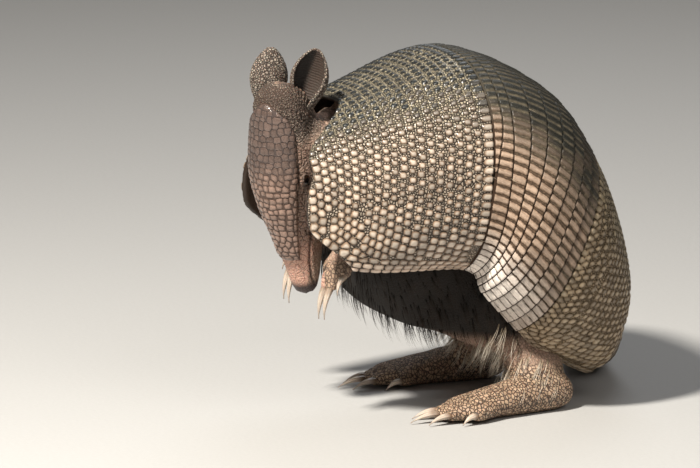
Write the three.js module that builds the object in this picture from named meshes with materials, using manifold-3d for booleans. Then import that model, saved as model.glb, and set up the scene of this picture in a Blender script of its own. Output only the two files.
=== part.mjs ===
// A nine-banded armadillo at life size, propped on its hind feet with its back arched,
// forepaws hanging and its head hung down and turned a little to its left.
// Millimetres, +Z up. It faces -Y and its left side is +X. While it is built the floor is z = 0
// and y = 0 is under the top of the shoulder shield's rear edge; the last lines move the origin
// to the middle of the bounding box's floor face.

import * as THREE from 'three';
import { mergeVertices } from 'three/addons/utils/BufferGeometryUtils.js';
import Module from 'manifold-3d';

const wasm = await Module();
wasm.setup();

// ---------- driving dimensions ----------

const GAP = 0.3;              // between solids that touch
const UNDER_GAP = 1.6;        // between the bony shell and the body under it
const PLATE = 4.0;            // thickness of the shoulder and pelvic shields
const BAND_PLATE = 3.2;       // thickness of a movable band
const ARCH_POWER = 2.43;      // roundness of the shell's cross-section, 2 is an ellipse
const ARCH_STEPS = 20;        // facets across the shell
const SHIELD_ROWS = 6;        // facets along each shield

// Cross-sections of the shell, front to rear: where its arch meets the back and the hem (y, z),
// how wide half of it is, how many degrees round from the back the hem is tucked under,
// and where the belly's lowest line runs below it.
const SHELL = [
  { back: [-107, 164], hem: [-102, 93], half: 47, tuck: 114, belly: [-80, 84] },
  { back: [-55, 185], hem: [-66, 87], half: 61, tuck: 126, belly: [-58, 64] },
  { back: [0, 201], hem: [-7, 82], half: 73, tuck: 150, belly: [-28, 47] },
  { back: [48, 181], hem: [1, 69.5], half: 83, tuck: 150, belly: [-6, 40] },
  { back: [72, 151], hem: [23, 46], half: 81, tuck: 150, belly: [16, 30] },
  { back: [88, 118], hem: [39, 32.5], half: 73, tuck: 150, belly: [36, 24] },
  { back: [101, 80], hem: [75, 14], half: 50, tuck: 150, belly: [70, 16] },
  { back: [102, 50], hem: [90, 16], half: 29, tuck: 150, belly: [86, 18] },
];
const SHOULDER_END = 2;       // section at the shoulder shield's rear edge
const BANDS_END = 4;          // section at the ninth band's rear edge
const BAND_PITCH = 0.25;      // sections from one band's rear edge to the next
const FIRST_BAND = 0.12;      // how far the first band shows behind the shield
const FIRST_BAND_REACH = 0.69; // how far down to the hem it shows before it goes under the shield

const HEAD_AT = [6, -103.5, 176];  // centre of the head between the ears
const HEAD_TURN = 28;              // degrees turned to its left
const HEAD_TUCK = 13;              // degrees past straight down, nose towards the chest
// Along the head from the crown: distance, half width, height of the forehead, depth of the throat.
const HEAD = [
  [-13, 6, 4, 6], [-9, 12, 9, 13], [-2, 15.5, 12, 19], [8, 17, 14, 23], [20, 19, 17, 25],
  [32, 20.5, 19.5, 25], [40, 20.5, 20, 23.5], [50, 19, 19.5, 21], [60, 17, 18, 18.5],
  [72, 14.2, 14.8, 16], [83, 12.3, 12.6, 14.5], [93, 10.4, 10.2, 12.5], [101, 9, 8.6, 10],
  [107, 7.6, 7, 6.5], [111, 5.4, 4.6, 4],
];
const EYE_RADIUS = 4.4;
const EYE = { along: 39, side: 16.2, up: 7 };      // eye centre from the head's axis
const EAR_WALL = 1.8;
const EARS = {                // root from the head's axis, lean outwards and back, and the way the
  left: { along: 5, side: 8, behind: 9.5, lean: 0.3, back: 0.28, slit: 20, length: 35.5 },
  right: { along: 6.5, side: 15, behind: 7.5, lean: -0.05, back: 0.28, slit: -128, length: 34.5 },
};                            // slit looks, in degrees from the forehead to the animal's left
const HEAD_SHIELD = { from: 2, to: 76, angle: 60, wall: 1.4, over: 0.7 };

const TAIL_RINGS = 12;        // armour rings on the thick part of the tail
const TAIL_RING_LENGTH = 15;
const TAIL_STEP = 0.9;        // how far each ring stands over the next
const TAIL_ROOT = 18.5;       // radius where it leaves the shell
const TAIL_END = 2.0;         // radius near the tip
const TAIL_LENGTH = 350;
// The tail turns to the animal's right as soon as it is on the floor.
const TAIL_WAY = [
  [3, 76, 52], [0, 91, 43], [-14, 101, 27], [-38, 110, 15], [-70, 122, 12], [-120, 138, 10],
  [-180, 150, 7], [-240, 154, 4.5], [-300, 150, 3], [-345, 140, 2],
];

const HIND_LEG = [            // centre, half width across the leg, half width along the body
  [14, 32, 66, 12, 17], [17, 34, 54, 14, 19], [21, 37, 42, 15, 19],
  [29, 39, 31, 15, 18], [37, 40, 20, 14, 16], [42, 41, 10, 12, 14],
];
const HIND_FOOT = [           // centre, half width, half height; the sole is flat on the floor
  [43, 59, 8.5, 4, 4], [43, 55, 9, 9, 8.5], [43.5, 45, 10, 12, 11.5], [45, 29, 9.5, 12.5, 11.5],
  [47, 10, 8, 13.5, 9.5], [48.5, -7, 6.5, 14.5, 7.5], [49, -15, 6, 13.5, 6.5], [49, -19, 5.6, 9, 4.5],
];
const HIND_TOES = [           // sideways place at the foot's front, length, spread, claw length
  { side: -12, start: -2, length: 11, spread: -0.25, claw: 9 },
  { side: -6, start: -12, length: 14, spread: -0.1, claw: 13 },
  { side: 0.4, start: -14, length: 15, spread: 0, claw: 15 },
  { side: 6.8, start: -12, length: 13, spread: 0.1, claw: 12 },
  { side: 12.2, start: -2, length: 10, spread: 0.28, claw: 8 },
];

const FORELEG = [             // centre, half width across, half width along the body
  [31, -44, 112, 12, 15], [30, -57, 105, 11, 13], [28.5, -66, 99, 9.5, 11], [27, -72, 93.5, 8.6, 9],
];
const FOREPAW = [[27, -72.5, 93, 8.4, 8], [26.5, -76, 88, 9.6, 7.6], [26, -79, 82.5, 9.6, 6.6], [25.6, -80, 79.5, 7, 4.6]];
const FORE_DIGITS = [         // root, tip, half width of the claw
  { root: [19.6, -76, 85], tip: [16, -80, 68], width: 1.9 },
  { root: [23.4, -80.5, 83], tip: [21.4, -86, 58], width: 2.9 },
  { root: [28.6, -79.8, 83], tip: [29, -86, 59], width: 2.7 },
  { root: [35, -74.5, 88], tip: [39, -82.5, 74], width: 2.2 },
];

// ---------- materials ----------

const finish = (color, roughness) => new THREE.MeshStandardMaterial({ color, roughness, metalness: 0 });
const SHIELD_HORN = () => finish('#8d8070', 0.55);
const BAND_HORN = () => finish('#a8927f', 0.5);
const SKIN = () => finish('#a07c70', 0.75);
const BELLY_SKIN = () => finish('#6f5a4c', 0.85);
const EAR_SKIN = () => finish('#6b5c55', 0.7);
const CLAW_HORN = () => finish('#d9c8ae', 0.35);
const EYE_BLACK = () => finish('#15100d', 0.1);

const armadillo = new THREE.Group();

function addPart(name, geometry, material) {
  const mesh = new THREE.Mesh(geometry, material);
  mesh.name = name;
  armadillo.add(mesh);
}

// ---------- solids from rings, and cuts ----------

const v = (x, y, z) => new THREE.Vector3(x, y, z);
const lerp = THREE.MathUtils.lerp;
const rad = THREE.MathUtils.degToRad;
const smooth = (x, a, b) => THREE.MathUtils.smoothstep(x, a, b);

// The walls between one ring of points and the next, for rings of equal count.
function walls(rings) {
  const count = rings[0].length;
  return rings.slice(1).flatMap((_, row) => rings[0].flatMap((__, i) => {
    const a = row * count + i;
    const b = row * count + ((i + 1) % count);
    return [a, b, b + count, a, b + count, a + count];
  }));
}

// A closed round body through rings, with a fan over each end.
function throughRings(rings) {
  const count = rings[0].length;
  const middle = (ring) => ring.reduce((sum, p) => sum.add(p), v(0, 0, 0)).divideScalar(count);
  const points = [...rings.flat(), middle(rings[0]), middle(rings.at(-1))];
  const first = rings.length * count;
  const ends = rings[0].flatMap((_, i) => {
    const next = (i + 1) % count;
    return [first, next, i, first + 1, first - count + i, first - count + next];
  });
  return closedGeometry(points, [...walls(rings), ...ends]);
}

// A closed curved sheet: each ring is its outer side, then its inner side back again.
function throughSheets(rings) {
  const count = rings[0].length;
  const last = (rings.length - 1) * count;
  const ends = rings[0].slice(0, count / 2 - 1).flatMap((_, i) => {
    const far = count - 1 - i;
    return [0, last].flatMap((start, k) => {
      const [a, b, c, d] = [start + i, start + i + 1, start + far - 1, start + far];
      return k === 0 ? [a, c, b, a, d, c] : [a, b, c, a, c, d];
    });
  });
  return closedGeometry(rings.flat(), [...walls(rings), ...ends]);
}

// Merges the points and turns the faces outwards.
function closedGeometry(points, faces) {
  const raw = new THREE.BufferGeometry().setFromPoints(points);
  raw.setIndex(faces);
  const geometry = mergeVertices(raw, 1e-3);
  const index = geometry.index.array;
  const at = (i) => v().fromBufferAttribute(geometry.attributes.position, index[i]);
  const kept = [];
  let volume = 0;
  for (let i = 0; i < index.length; i += 3) {
    const same = index[i] === index[i + 1] || index[i + 1] === index[i + 2] || index[i] === index[i + 2];
    if (!same) kept.push([index[i], index[i + 1], index[i + 2]]);
    volume += at(i).dot(at(i + 1).cross(at(i + 2)));
  }
  geometry.setIndex(kept.flatMap(([a, b, c]) => (volume > 0 ? [a, b, c] : [a, c, b])));
  return geometry;
}

function solid(geometry) {
  return new wasm.Manifold(new wasm.Mesh({
    numProp: 3,
    vertProperties: Float32Array.from(geometry.attributes.position.array),
    triVerts: Uint32Array.from(geometry.index.array),
  }));
}

function geometryOf(manifold) {
  const mesh = manifold.getMesh();
  const geometry = new THREE.BufferGeometry();
  geometry.setAttribute('position', new THREE.BufferAttribute(mesh.vertProperties, 3));
  geometry.setIndex(new THREE.BufferAttribute(mesh.triVerts, 1));
  return geometry;
}

const cut = (body, ...tools) => geometryOf(tools.reduce((rest, tool) => rest.subtract(solid(tool)), solid(body)));
const join = (bodies) => geometryOf(bodies.slice(1).reduce((sum, body) => sum.add(solid(body)), solid(bodies[0])));

function mirrored(geometry) {
  const copy = geometry.clone().scale(-1, 1, 1);
  const index = Array.from(copy.index.array);
  copy.setIndex(index.map((_, i) => index[i - (i % 3) + [0, 2, 1][i % 3]]));
  return copy;
}

// A round body along a path: each stop is [x, y, z, half width across, half width the other way].
// `across` is the direction that the first half width is measured in. Nothing goes below the floor.
function alongStops(stops, { across = v(1, 0, 0), sides = 14, grow = 0, floor = 0, power = 2 } = {}) {
  const centres = stops.map(([x, y, z]) => v(x, y, z));
  return throughRings(stops.map(([, , , a, b], i) => {
    const ahead = centres[Math.min(i + 1, centres.length - 1)].clone();
    const way = ahead.sub(centres[Math.max(i - 1, 0)]).normalize();
    const side = across.clone().addScaledVector(way, -across.dot(way)).normalize();
    const other = way.clone().cross(side);
    return Array.from({ length: sides }, (_, k) => {
      const angle = (2 * Math.PI * k) / sides;
      const round = (value) => Math.sign(value) * Math.abs(value) ** (2 / power);
      const p = centres[i].clone().addScaledVector(side, (a + grow) * round(Math.cos(angle)));
      p.addScaledVector(other, (b + grow) * round(Math.sin(angle)));
      p.z = Math.max(p.z, floor);
      return p;
    });
  }));
}

// ---------- the shell's surface ----------

// A smooth curve through equally spaced values.
function through(values, at) {
  const i = Math.min(Math.max(Math.floor(at), 0), values.length - 2);
  const t = at - i;
  const [b, c] = [values[i], values[i + 1]];
  const a = i > 0 ? values[i - 1] : 2 * b - c;
  const d = i + 2 < values.length ? values[i + 2] : 2 * c - b;
  return 0.5 * (2 * b + (c - a) * t + (2 * a - 5 * b + 4 * c - d) * t * t + (3 * b - a - 3 * c + d) * t ** 3);
}

const arch = (value) => Math.sign(value) * Math.abs(value) ** (2 / ARCH_POWER);

// The outside of the shell at a section number and a share of the way round from the back,
// 0, to the left hem, 1, or the right hem, -1.
function shellPoint(section, share) {
  const value = (read) => through(SHELL.map(read), section);
  const tuck = rad(value((s) => s.tuck));
  const low = arch(Math.cos(tuck));
  const rise = (arch(Math.cos(tuck * share)) - low) / (1 - low);
  return v(
    value((s) => s.half) * arch(Math.sin(tuck * share)),
    lerp(value((s) => s.hem[0]), value((s) => s.back[0]), rise),
    lerp(value((s) => s.hem[1]), value((s) => s.back[1]), rise),
  );
}

function shellNormal(section, share) {
  const along = shellPoint(section + 0.02, share).sub(shellPoint(section - 0.02, share));
  const round = shellPoint(section, share + 0.01).sub(shellPoint(section, share - 0.01));
  return round.cross(along).normalize();
}

const shellInner = (section, share, depth) => (
  shellPoint(section, share).addScaledVector(shellNormal(section, share), -depth)
);

// A curved plate of the shell between two edges, given as section numbers at each share.
function plate({ front, rear, thick, reach = 1, rows = 1, steps = ARCH_STEPS, lift = 0 }) {
  return throughSheets(Array.from({ length: steps + 1 }, (_, i) => {
    const share = lerp(-reach, reach, i / steps);
    const at = (row) => lerp(front(share), rear(share), row / rows);
    const corners = Array.from({ length: rows + 1 }, (_, row) => row);
    return [
      ...corners.map((row) => shellInner(at(row), share, -lift * (row / rows))),
      ...corners.map((row) => shellInner(at(rows - row), share, thick)),
    ];
  }));
}

// ---------- shoulder shield ----------

// Its front edge is notched over the neck, drawn back behind the eye and rounded off at the
// lower corner.
const shoulderFront = (share) => (
  0.7 * (1 - smooth(Math.abs(share), 0.05, 0.5)) + 0.72 * smooth(Math.abs(share), 0.78, 1.02)
  + 0.13 * Math.exp(-(((Math.abs(share) - 0.51) / 0.12) ** 2))
);
const endGap = 0.012;         // sections, about 0.5 mm, left between one plate and the next

addPart('shell_shoulder', plate({
  front: shoulderFront,
  rear: () => SHOULDER_END - endGap,
  thick: PLATE,
  rows: SHIELD_ROWS,
}), SHIELD_HORN());

// The space that the shoulder shield takes, for cutting what comes out from under it.
const shoulderTool = plate({
  front: shoulderFront, rear: () => SHOULDER_END, thick: PLATE + UNDER_GAP, reach: 1.02,
  rows: SHIELD_ROWS, lift: GAP,
});

// ---------- nine movable bands ----------

const firstBandEnd = (share) => SHOULDER_END + FIRST_BAND * (1 - smooth(Math.abs(share), 0.4, FIRST_BAND_REACH));
const bandRear = (band) => (band === 1 ? firstBandEnd : () => SHOULDER_END + BAND_PITCH * (band - 1));

for (let band = 1; band <= 9; band += 1) {
  const frontEdge = band === 1 ? () => SHOULDER_END : bandRear(band - 1);
  addPart(`shell_band_${band}`, plate({
    front: (share) => frontEdge(share) + endGap,
    rear: (share) => bandRear(band)(share) - endGap,
    thick: BAND_PLATE,
    reach: band === 1 ? FIRST_BAND_REACH * 0.85 : 1,
    steps: band === 1 ? 16 : ARCH_STEPS,
    lift: band === 1 ? 0 : 0.5,
  }), BAND_HORN());
}

// ---------- pelvic shield ----------

// Notched over the tail and drawn in below the hips.
const pelvicRear = (share) => (
  6.38 + 0.06 * smooth(Math.abs(share), 0.13, 0.47) - 0.36 * smooth(Math.abs(share), 0.6, 1)
);

addPart('shell_pelvic', plate({
  front: () => BANDS_END + endGap,
  rear: pelvicRear,
  thick: PLATE,
  rows: SHIELD_ROWS,
}), SHIELD_HORN());

// ---------- trunk ----------

// The body under the shell, with the belly hanging below the hem between the legs.
// At each stop: section number and how much of the full cross-section is filled.
const TRUNK_STOPS = [
  [0.72, 0.4], [0.78, 0.66], [0.9, 0.84], [1.1, 0.95], [1.35, 1], [1.7, 1], [2, 1], [2.25, 1], [2.5, 1], [3, 1],
  [3.5, 1], [4, 1], [5, 1], [5.5, 1], [5.9, 0.97], [6.15, 0.86], [6.3, 0.6],
];
const BELLY_STEPS = 6;

function trunkBody(grow) {
  return throughRings(TRUNK_STOPS.map(([section, fill]) => {
    const ring = Array.from({ length: ARCH_STEPS + 1 }, (_, i) => (
      shellInner(section, lerp(-1, 1, i / ARCH_STEPS), PLATE + UNDER_GAP - grow)
    ));
    const hem = ring.at(-1);
    const belly = v(0, ...[0, 1].map((k) => through(SHELL.map((s) => s.belly[k]), section)));
    for (let k = 1; k < BELLY_STEPS; k += 1) {
      const turn = (Math.PI * k) / BELLY_STEPS;
      const sag = Math.sin(turn) ** 0.8;
      ring.push(v(hem.x * Math.cos(turn), lerp(hem.y, belly.y, sag), lerp(hem.z, belly.z, sag) - grow));
    }
    const centre = shellPoint(section, 0).lerp(belly, 0.5).setX(0);
    return ring.map((p) => p.lerp(centre, 1 - fill));
  }));
}

const trunkTool = trunkBody(GAP);
addPart('trunk', trunkBody(0), BELLY_SKIN());

// ---------- head ----------

const headFrame = new THREE.Matrix4().makeRotationFromEuler(new THREE.Euler(0, 0, rad(HEAD_TURN)));
const headDown = v(0, Math.sin(rad(HEAD_TUCK)), -Math.cos(rad(HEAD_TUCK))).applyMatrix4(headFrame);
const headLeft = v(1, 0, 0).applyMatrix4(headFrame);
const headFore = headDown.clone().cross(headLeft);     // the way the forehead faces
// A point of the head: along from the crown to the nose, to its left, and out of the forehead.
const inHead = (along, left, fore) => v(...HEAD_AT)
  .addScaledVector(headDown, along).addScaledVector(headLeft, left).addScaledVector(headFore, fore);

// The head's outline at a distance along and an angle round from the forehead's middle line.
function headPoint(row, angle, grow) {
  const [along, half, fore, throat] = row;
  const up = Math.cos(rad(angle));
  return inHead(along, (half + grow) * Math.sin(rad(angle)), up * ((up > 0 ? fore : throat) + grow));
}

function headBody(grow, sides) {
  const rows = HEAD.map((row, i) => {
    const end = [grow, ...Array(HEAD.length - 2).fill(0), -grow];
    return [row[0] - end[i], ...row.slice(1)];
  });
  return throughRings(rows.map((row) => (
    Array.from({ length: sides }, (_, k) => headPoint(row, (360 * k) / sides, grow))
  )));
}

const eyeBall = (side, grow) => {
  const centre = inHead(EYE.along, side * EYE.side, EYE.up);
  return mergeVertices(bare(new THREE.SphereGeometry(EYE_RADIUS + grow, 10, 7)))
    .translate(centre.x, centre.y, centre.z);
};

function bare(geometry) {
  geometry.deleteAttribute('normal');
  geometry.deleteAttribute('uv');
  return geometry;
}

const HEAD_SIDES = 16;
const headTool = headBody(GAP, HEAD_SIDES);
addPart('head', cut(headBody(0, HEAD_SIDES), eyeBall(1, GAP), eyeBall(-1, GAP)), SKIN());
addPart('eye_left', eyeBall(1, 0), EYE_BLACK());
addPart('eye_right', eyeBall(-1, 0), EYE_BLACK());

// The scaly shield on the forehead and the bridge of the nose, a thin plate over the skin.
function headShield() {
  const rowAt = (along) => {
    const i = Math.max(HEAD.findIndex((row) => row[0] >= along), 1);
    const t = (along - HEAD[i - 1][0]) / (HEAD[i][0] - HEAD[i - 1][0]);
    return HEAD[i].map((value, k) => lerp(HEAD[i - 1][k], value, t));
  };
  const stops = [HEAD_SHIELD.from, 8, 20, 32, 40, 50, 60, 72, HEAD_SHIELD.to];
  return throughSheets(stops.map((along) => {
    const t = (along - HEAD_SHIELD.from) / (HEAD_SHIELD.to - HEAD_SHIELD.from);
    const reach = HEAD_SHIELD.angle * (1 - 0.45 * t ** 1.5) * (0.7 + 0.3 * smooth(t, 0, 0.2));
    const angles = Array.from({ length: 9 }, (_, k) => lerp(-reach, reach, k / 8));
    const row = rowAt(along);
    const edge = (angle, grow) => headPoint(row, angle, grow);
    return [
      ...angles.map((angle) => edge(angle, HEAD_SHIELD.over + HEAD_SHIELD.wall)),
      ...angles.reverse().map((angle) => edge(angle, HEAD_SHIELD.over)),
    ];
  }));
}
addPart('head_shield', headShield(), SHIELD_HORN());

// ---------- neck ----------

const NECK = [    // centre, half width, half height
  [0, -50, 136, 40, 33], [0.5, -64, 138, 38, 31], [2, -77, 144, 29, 27], [4, -88, 149, 20, 21], [5, -99, 150, 15, 17],
];
addPart('neck', cut(alongStops(NECK, { sides: 12 }), trunkTool, headTool, shoulderTool), SKIN());

// ---------- ears ----------

// A leaf rolled into a cup: closed at the base, its slit widening to the tip.
function ear(side, { along, side: out, behind, lean, back, slit: turn, length }) {
  const base = inHead(along, side * out, -behind);
  const way = headDown.clone().negate().addScaledVector(headLeft, side * lean)
    .addScaledVector(headFore, -back).normalize();
  const slit = headFore.clone().multiplyScalar(Math.cos(rad(turn)))
    .addScaledVector(headLeft, Math.sin(rad(turn)));
  slit.addScaledVector(way, -slit.dot(way)).normalize();
  const across = way.clone().cross(slit);
  const stops = [    // height as a share of the length, half width, half depth, half angle of the roll
    [-0.1, 5.4, 4.6, 150], [0.12, 7.2, 5.4, 148], [0.3, 9.6, 6.4, 138], [0.5, 10.9, 6.8, 126],
    [0.68, 9.9, 6, 114], [0.84, 7.2, 4.6, 100], [0.95, 4.2, 3, 92], [1, 2.2, 2, 88],
  ];
  return throughSheets(stops.map(([height, half, depth, roll]) => {
    const wall = (angle, inset) => base.clone().addScaledVector(way, height * length)
      .addScaledVector(across, (half - inset) * Math.sin(rad(angle)))
      .addScaledVector(slit, -(depth - inset) * Math.cos(rad(angle)));
    const angles = Array.from({ length: 7 }, (_, k) => lerp(-roll, roll, k / 6));
    return [...angles.map((a) => wall(a, 0)), ...angles.reverse().map((a) => wall(a, EAR_WALL))];
  }));
}
addPart('ear_left', cut(ear(1, EARS.left), headTool), EAR_SKIN());
addPart('ear_right', cut(ear(-1, EARS.right), headTool), EAR_SKIN());

// ---------- claws ----------

// A curved horn from root to tip, bent towards `bend`, flattened across and sharp at the end.
function claw(root, tip, width, bend, flat = 0.8) {
  const stops = [0, 0.4, 0.75, 1].map((t) => {
    const p = root.clone().lerp(tip, t).addScaledVector(bend, 4 * t * (1 - t));
    const size = Math.max(width * (1 - t ** 1.6), 0.45);
    return [p.x, p.y, p.z, size, size * flat];
  });
  const way = tip.clone().sub(root);
  return alongStops(stops, { across: way.cross(bend).normalize(), sides: 5 });
}

// ---------- hind legs and feet ----------

// The leg comes out of the flank inside the hem, so it is cut back from the shell.
const hemTool = plate({
  front: () => 2.6, rear: () => 6, thick: PLATE + UNDER_GAP, reach: 1.02, rows: 6, lift: 0.5 + GAP,
});

const FOOT_X = 49;            // the middle toe's sideways place

// The foot with its toes, or the same a little thicker for cutting what meets it.
function hindFoot(grow = 0) {
  const shape = { sides: 6, grow, floor: -grow };
  const toes = HIND_TOES.map(({ side, start, length, spread }) => {
    const x = FOOT_X + side;
    const reach = length / 12;
    return alongStops([
      [x - spread * 6, start + 6, 5, 3.2, 3.8], [x, start - 2, 5, 4, 4.4],
      [x + spread * 7, start - 8 * reach, 4.6, 3.9, 4.2],
      [x + spread * length, start - length - grow, 4, 2.6, 2.8],
    ], shape);
  });
  return join([alongStops(HIND_FOOT, { ...shape, sides: 10 }), ...toes]);
}

const hindClaws = HIND_TOES.map(({ side, start, length, spread, claw: reach }) => {
  const x = FOOT_X + side + spread * length;
  const root = v(x - spread * 3, start - length + 2.5, 4.4);
  const tip = v(x + spread * reach, start - length - reach + 1, 0.9);
  return cut(claw(root, tip, 2.5, v(0, 0, 1.4)), hindFoot(GAP));
});

const foot = hindFoot();
const footTool = alongStops(HIND_FOOT, { sides: 10, grow: GAP, floor: -GAP });
const hindLeg = alongStops(HIND_LEG, { sides: 14 });

['left', 'right'].forEach((name, i) => {
  const place = i === 0 ? (body) => body.clone() : mirrored;
  addPart(`hindleg_${name}`, cut(place(hindLeg), trunkTool, hemTool, place(footTool)), SKIN());
  addPart(`hindfoot_${name}`, place(foot), SKIN());
  hindClaws.forEach((body, k) => addPart(`hindclaw_${name}_${k + 1}`, place(body), CLAW_HORN()));
});

// ---------- forelegs and forepaws ----------

const foreleg = alongStops(FORELEG, { sides: 12 });

function digit({ root, tip, width }, grow) {
  const [from, to] = [v(...root), v(...tip)];
  const knuckle = from.clone().lerp(to, 0.34);
  const start = from.clone().lerp(v(26.5, -75, 89), 0.6);
  const size = width + 1.2 + grow;
  return alongStops([start, from, knuckle].map((p, i) => (
    [p.x, p.y, p.z, size, size * (i === 2 ? 0.85 : 1)]
  )), { sides: 6 });
}

const pawBody = (grow) => join([
  alongStops(FOREPAW, { sides: 10, grow }), ...FORE_DIGITS.map((one) => digit(one, grow)),
]);
const wristTool = alongStops(FORELEG, { sides: 12, grow: GAP });
const foreClaws = FORE_DIGITS.map(({ root, tip, width }) => {
  const [from, to] = [v(...root), v(...tip)];
  return cut(claw(from.clone().lerp(to, 0.2), to, width, v(0, -1.6, 0.2), 0.75), pawBody(GAP));
});

['left', 'right'].forEach((name, i) => {
  // The right paw hangs a little wider, clear of the muzzle.
  const place = i === 0 ? (body) => body.clone() : (body) => mirrored(body).translate(-3, 2, 0);
  const paw = cut(place(pawBody(0)), place(wristTool), trunkTool, shoulderTool);
  addPart(`foreleg_${name}`, cut(place(foreleg), trunkTool, shoulderTool), SKIN());
  addPart(`forepaw_${name}`, paw, SKIN());
  foreClaws.forEach((body, k) => addPart(`foreclaw_${name}_${k + 1}`, place(body), CLAW_HORN()));
});

// ---------- tail ----------

const tailPath = new THREE.CatmullRomCurve3(TAIL_WAY.map((p) => v(...p)), false, 'centripetal');
const TAIL_INSIDE = 18;       // length of the root that is inside the body
const TAIL_SIDES = 10;
const tailRadius = (length) => (
  length < 0 ? TAIL_ROOT : lerp(TAIL_ROOT, TAIL_END, smooth(length / TAIL_LENGTH, -0.35, 1.0) * 1.16 - 0.16)
);

function tailRing(length, radius) {
  const t = (length + TAIL_INSIDE) / tailPath.getLength();
  const centre = tailPath.getPointAt(Math.min(t, 1));
  const way = tailPath.getTangentAt(Math.min(t, 1));
  const side = way.clone().cross(v(0, 0, 1)).normalize();
  const top = side.clone().cross(way);
  return Array.from({ length: TAIL_SIDES }, (_, k) => {
    const angle = (2 * Math.PI * k) / TAIL_SIDES;
    const p = centre.clone().addScaledVector(side, radius * Math.cos(angle));
    p.addScaledVector(top, radius * Math.sin(angle));
    p.z = Math.max(p.z, 0);
    return p;
  });
}

function tailBase() {
  const rings = [tailRing(-TAIL_INSIDE, TAIL_ROOT - 2)];
  for (let i = 0; i < TAIL_RINGS; i += 1) {
    const start = i * TAIL_RING_LENGTH - 6;
    rings.push(tailRing(start, tailRadius(start) - TAIL_STEP));
    rings.push(tailRing(start + TAIL_RING_LENGTH - 1, tailRadius(start + TAIL_RING_LENGTH)));
  }
  return throughRings(rings);
}

function tailTip() {
  const start = TAIL_RINGS * TAIL_RING_LENGTH - 6;
  const stops = Array.from({ length: 12 }, (_, i) => start + ((TAIL_LENGTH - start) * i) / 11);
  return throughRings(stops.map((length) => tailRing(length, tailRadius(length) - 0.6)));
}

addPart('tail', cut(tailBase(), trunkTool), SHIELD_HORN());
addPart('tail_tip', tailTip(), SKIN());

// ---------- origin ----------

const box = new THREE.Box3().setFromObject(armadillo);
const centre = box.getCenter(v(0, 0, 0));
armadillo.position.set(-centre.x, -centre.y, -box.min.z);
armadillo.updateMatrixWorld(true);

export default armadillo;
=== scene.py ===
import math

import bmesh
import bpy
import numpy as np
from mathutils import Matrix, Vector, kdtree


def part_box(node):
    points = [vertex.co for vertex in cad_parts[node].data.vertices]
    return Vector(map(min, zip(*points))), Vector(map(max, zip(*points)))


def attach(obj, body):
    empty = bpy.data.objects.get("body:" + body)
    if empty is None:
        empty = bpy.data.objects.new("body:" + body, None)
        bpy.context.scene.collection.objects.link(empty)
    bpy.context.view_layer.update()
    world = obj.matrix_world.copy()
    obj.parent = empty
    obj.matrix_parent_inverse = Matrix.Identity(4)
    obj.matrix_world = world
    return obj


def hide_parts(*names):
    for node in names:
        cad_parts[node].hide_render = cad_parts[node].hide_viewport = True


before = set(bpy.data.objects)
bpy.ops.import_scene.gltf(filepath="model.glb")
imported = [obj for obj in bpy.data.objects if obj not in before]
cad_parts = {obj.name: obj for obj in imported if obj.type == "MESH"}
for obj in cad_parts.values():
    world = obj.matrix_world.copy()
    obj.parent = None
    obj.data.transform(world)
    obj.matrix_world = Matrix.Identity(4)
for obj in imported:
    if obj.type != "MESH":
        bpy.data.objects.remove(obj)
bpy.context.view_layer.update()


# ---------------------------------------------------------------- studio
# A pale floor, a soft sky and three large lamps, with the camera level with the animal's
# back and well off, looking at its left side from a little ahead of the flank.

AIM = Vector((0.1192, -0.0756, 0.0988))     # what the camera and the lamps look at
DISTANCE, VIEW_WIDTH, SENSOR = 3.0, 0.389, 36


def linked(name, data):
    """A new object in the scene."""
    body = bpy.data.objects.new(name, data)
    bpy.context.collection.objects.link(body)
    return body


def set_up(name, data, azimuth, elevation, distance):
    """A camera or a lamp, so many degrees round from the animal's front and up, facing it."""
    azimuth, elevation = math.radians(azimuth), math.radians(elevation)
    way = Vector((math.sin(azimuth) * math.cos(elevation),
                  -math.cos(azimuth) * math.cos(elevation), math.sin(elevation)))
    body = linked(name, data)
    body.location = AIM + way * distance
    body.rotation_euler = way.to_track_quat("Z", "Y").to_euler()
    return body


lens = bpy.data.cameras.new("camera")
lens.sensor_width = SENSOR
lens.lens = SENSOR * DISTANCE / VIEW_WIDTH
bpy.context.scene.camera = set_up("camera", lens, 66, 11, DISTANCE)

for name, azimuth, elevation, distance, size, watts, colour in (
        ("key_light", 30, 52, 1.6, 0.18, 57, (1.0, 0.94, 0.84)),
        ("fill_light", 105, 40, 2.0, 1.0, 7.5, (1.0, 0.95, 0.88)),
        ("back_light", 235, 50, 1.8, 0.9, 6, (0.94, 0.97, 1.0))):
    light = bpy.data.lights.new(name, "AREA")
    light.shape, light.size, light.energy, light.color = "DISK", size, watts, colour
    set_up(name, light, azimuth, elevation, distance)

sky = bpy.data.worlds.new("soft_sky")
sky.use_nodes = True
backdrop = sky.node_tree.nodes["Background"].inputs
backdrop["Color"].default_value = (0.94, 0.90, 0.85, 1)
backdrop["Strength"].default_value = 0.115
bpy.context.scene.world = sky
bpy.context.scene.view_settings.view_transform = "Standard"


# ---------------------------------------------------------------- finishes Horn, skin and claw
# are all made from one shader each.

class Socket:
    def __init__(self, finish, socket):
        self.finish, self.socket = finish, socket

    def maths(self, operation, *others):
        return self.finish.add("ShaderNodeMath", {"operation": operation},
                               dict(enumerate((self, *others))))

    def __add__(self, other): return self.maths("ADD", other)
    def __mul__(self, other): return self.maths("MULTIPLY", other)
    def __sub__(self, other): return self.maths("SUBTRACT", other)
    def __rsub__(self, other): return self.finish.number(other).maths("SUBTRACT", self)
    __radd__, __rmul__ = __add__, __mul__

    def ramp(self, low, high):
        """0 below low and 1 above high, smooth between."""
        return self.finish.add("ShaderNodeMapRange", {"interpolation_type": "SMOOTHSTEP"},
                               {"Value": self, "From Min": low, "From Max": high})


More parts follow.
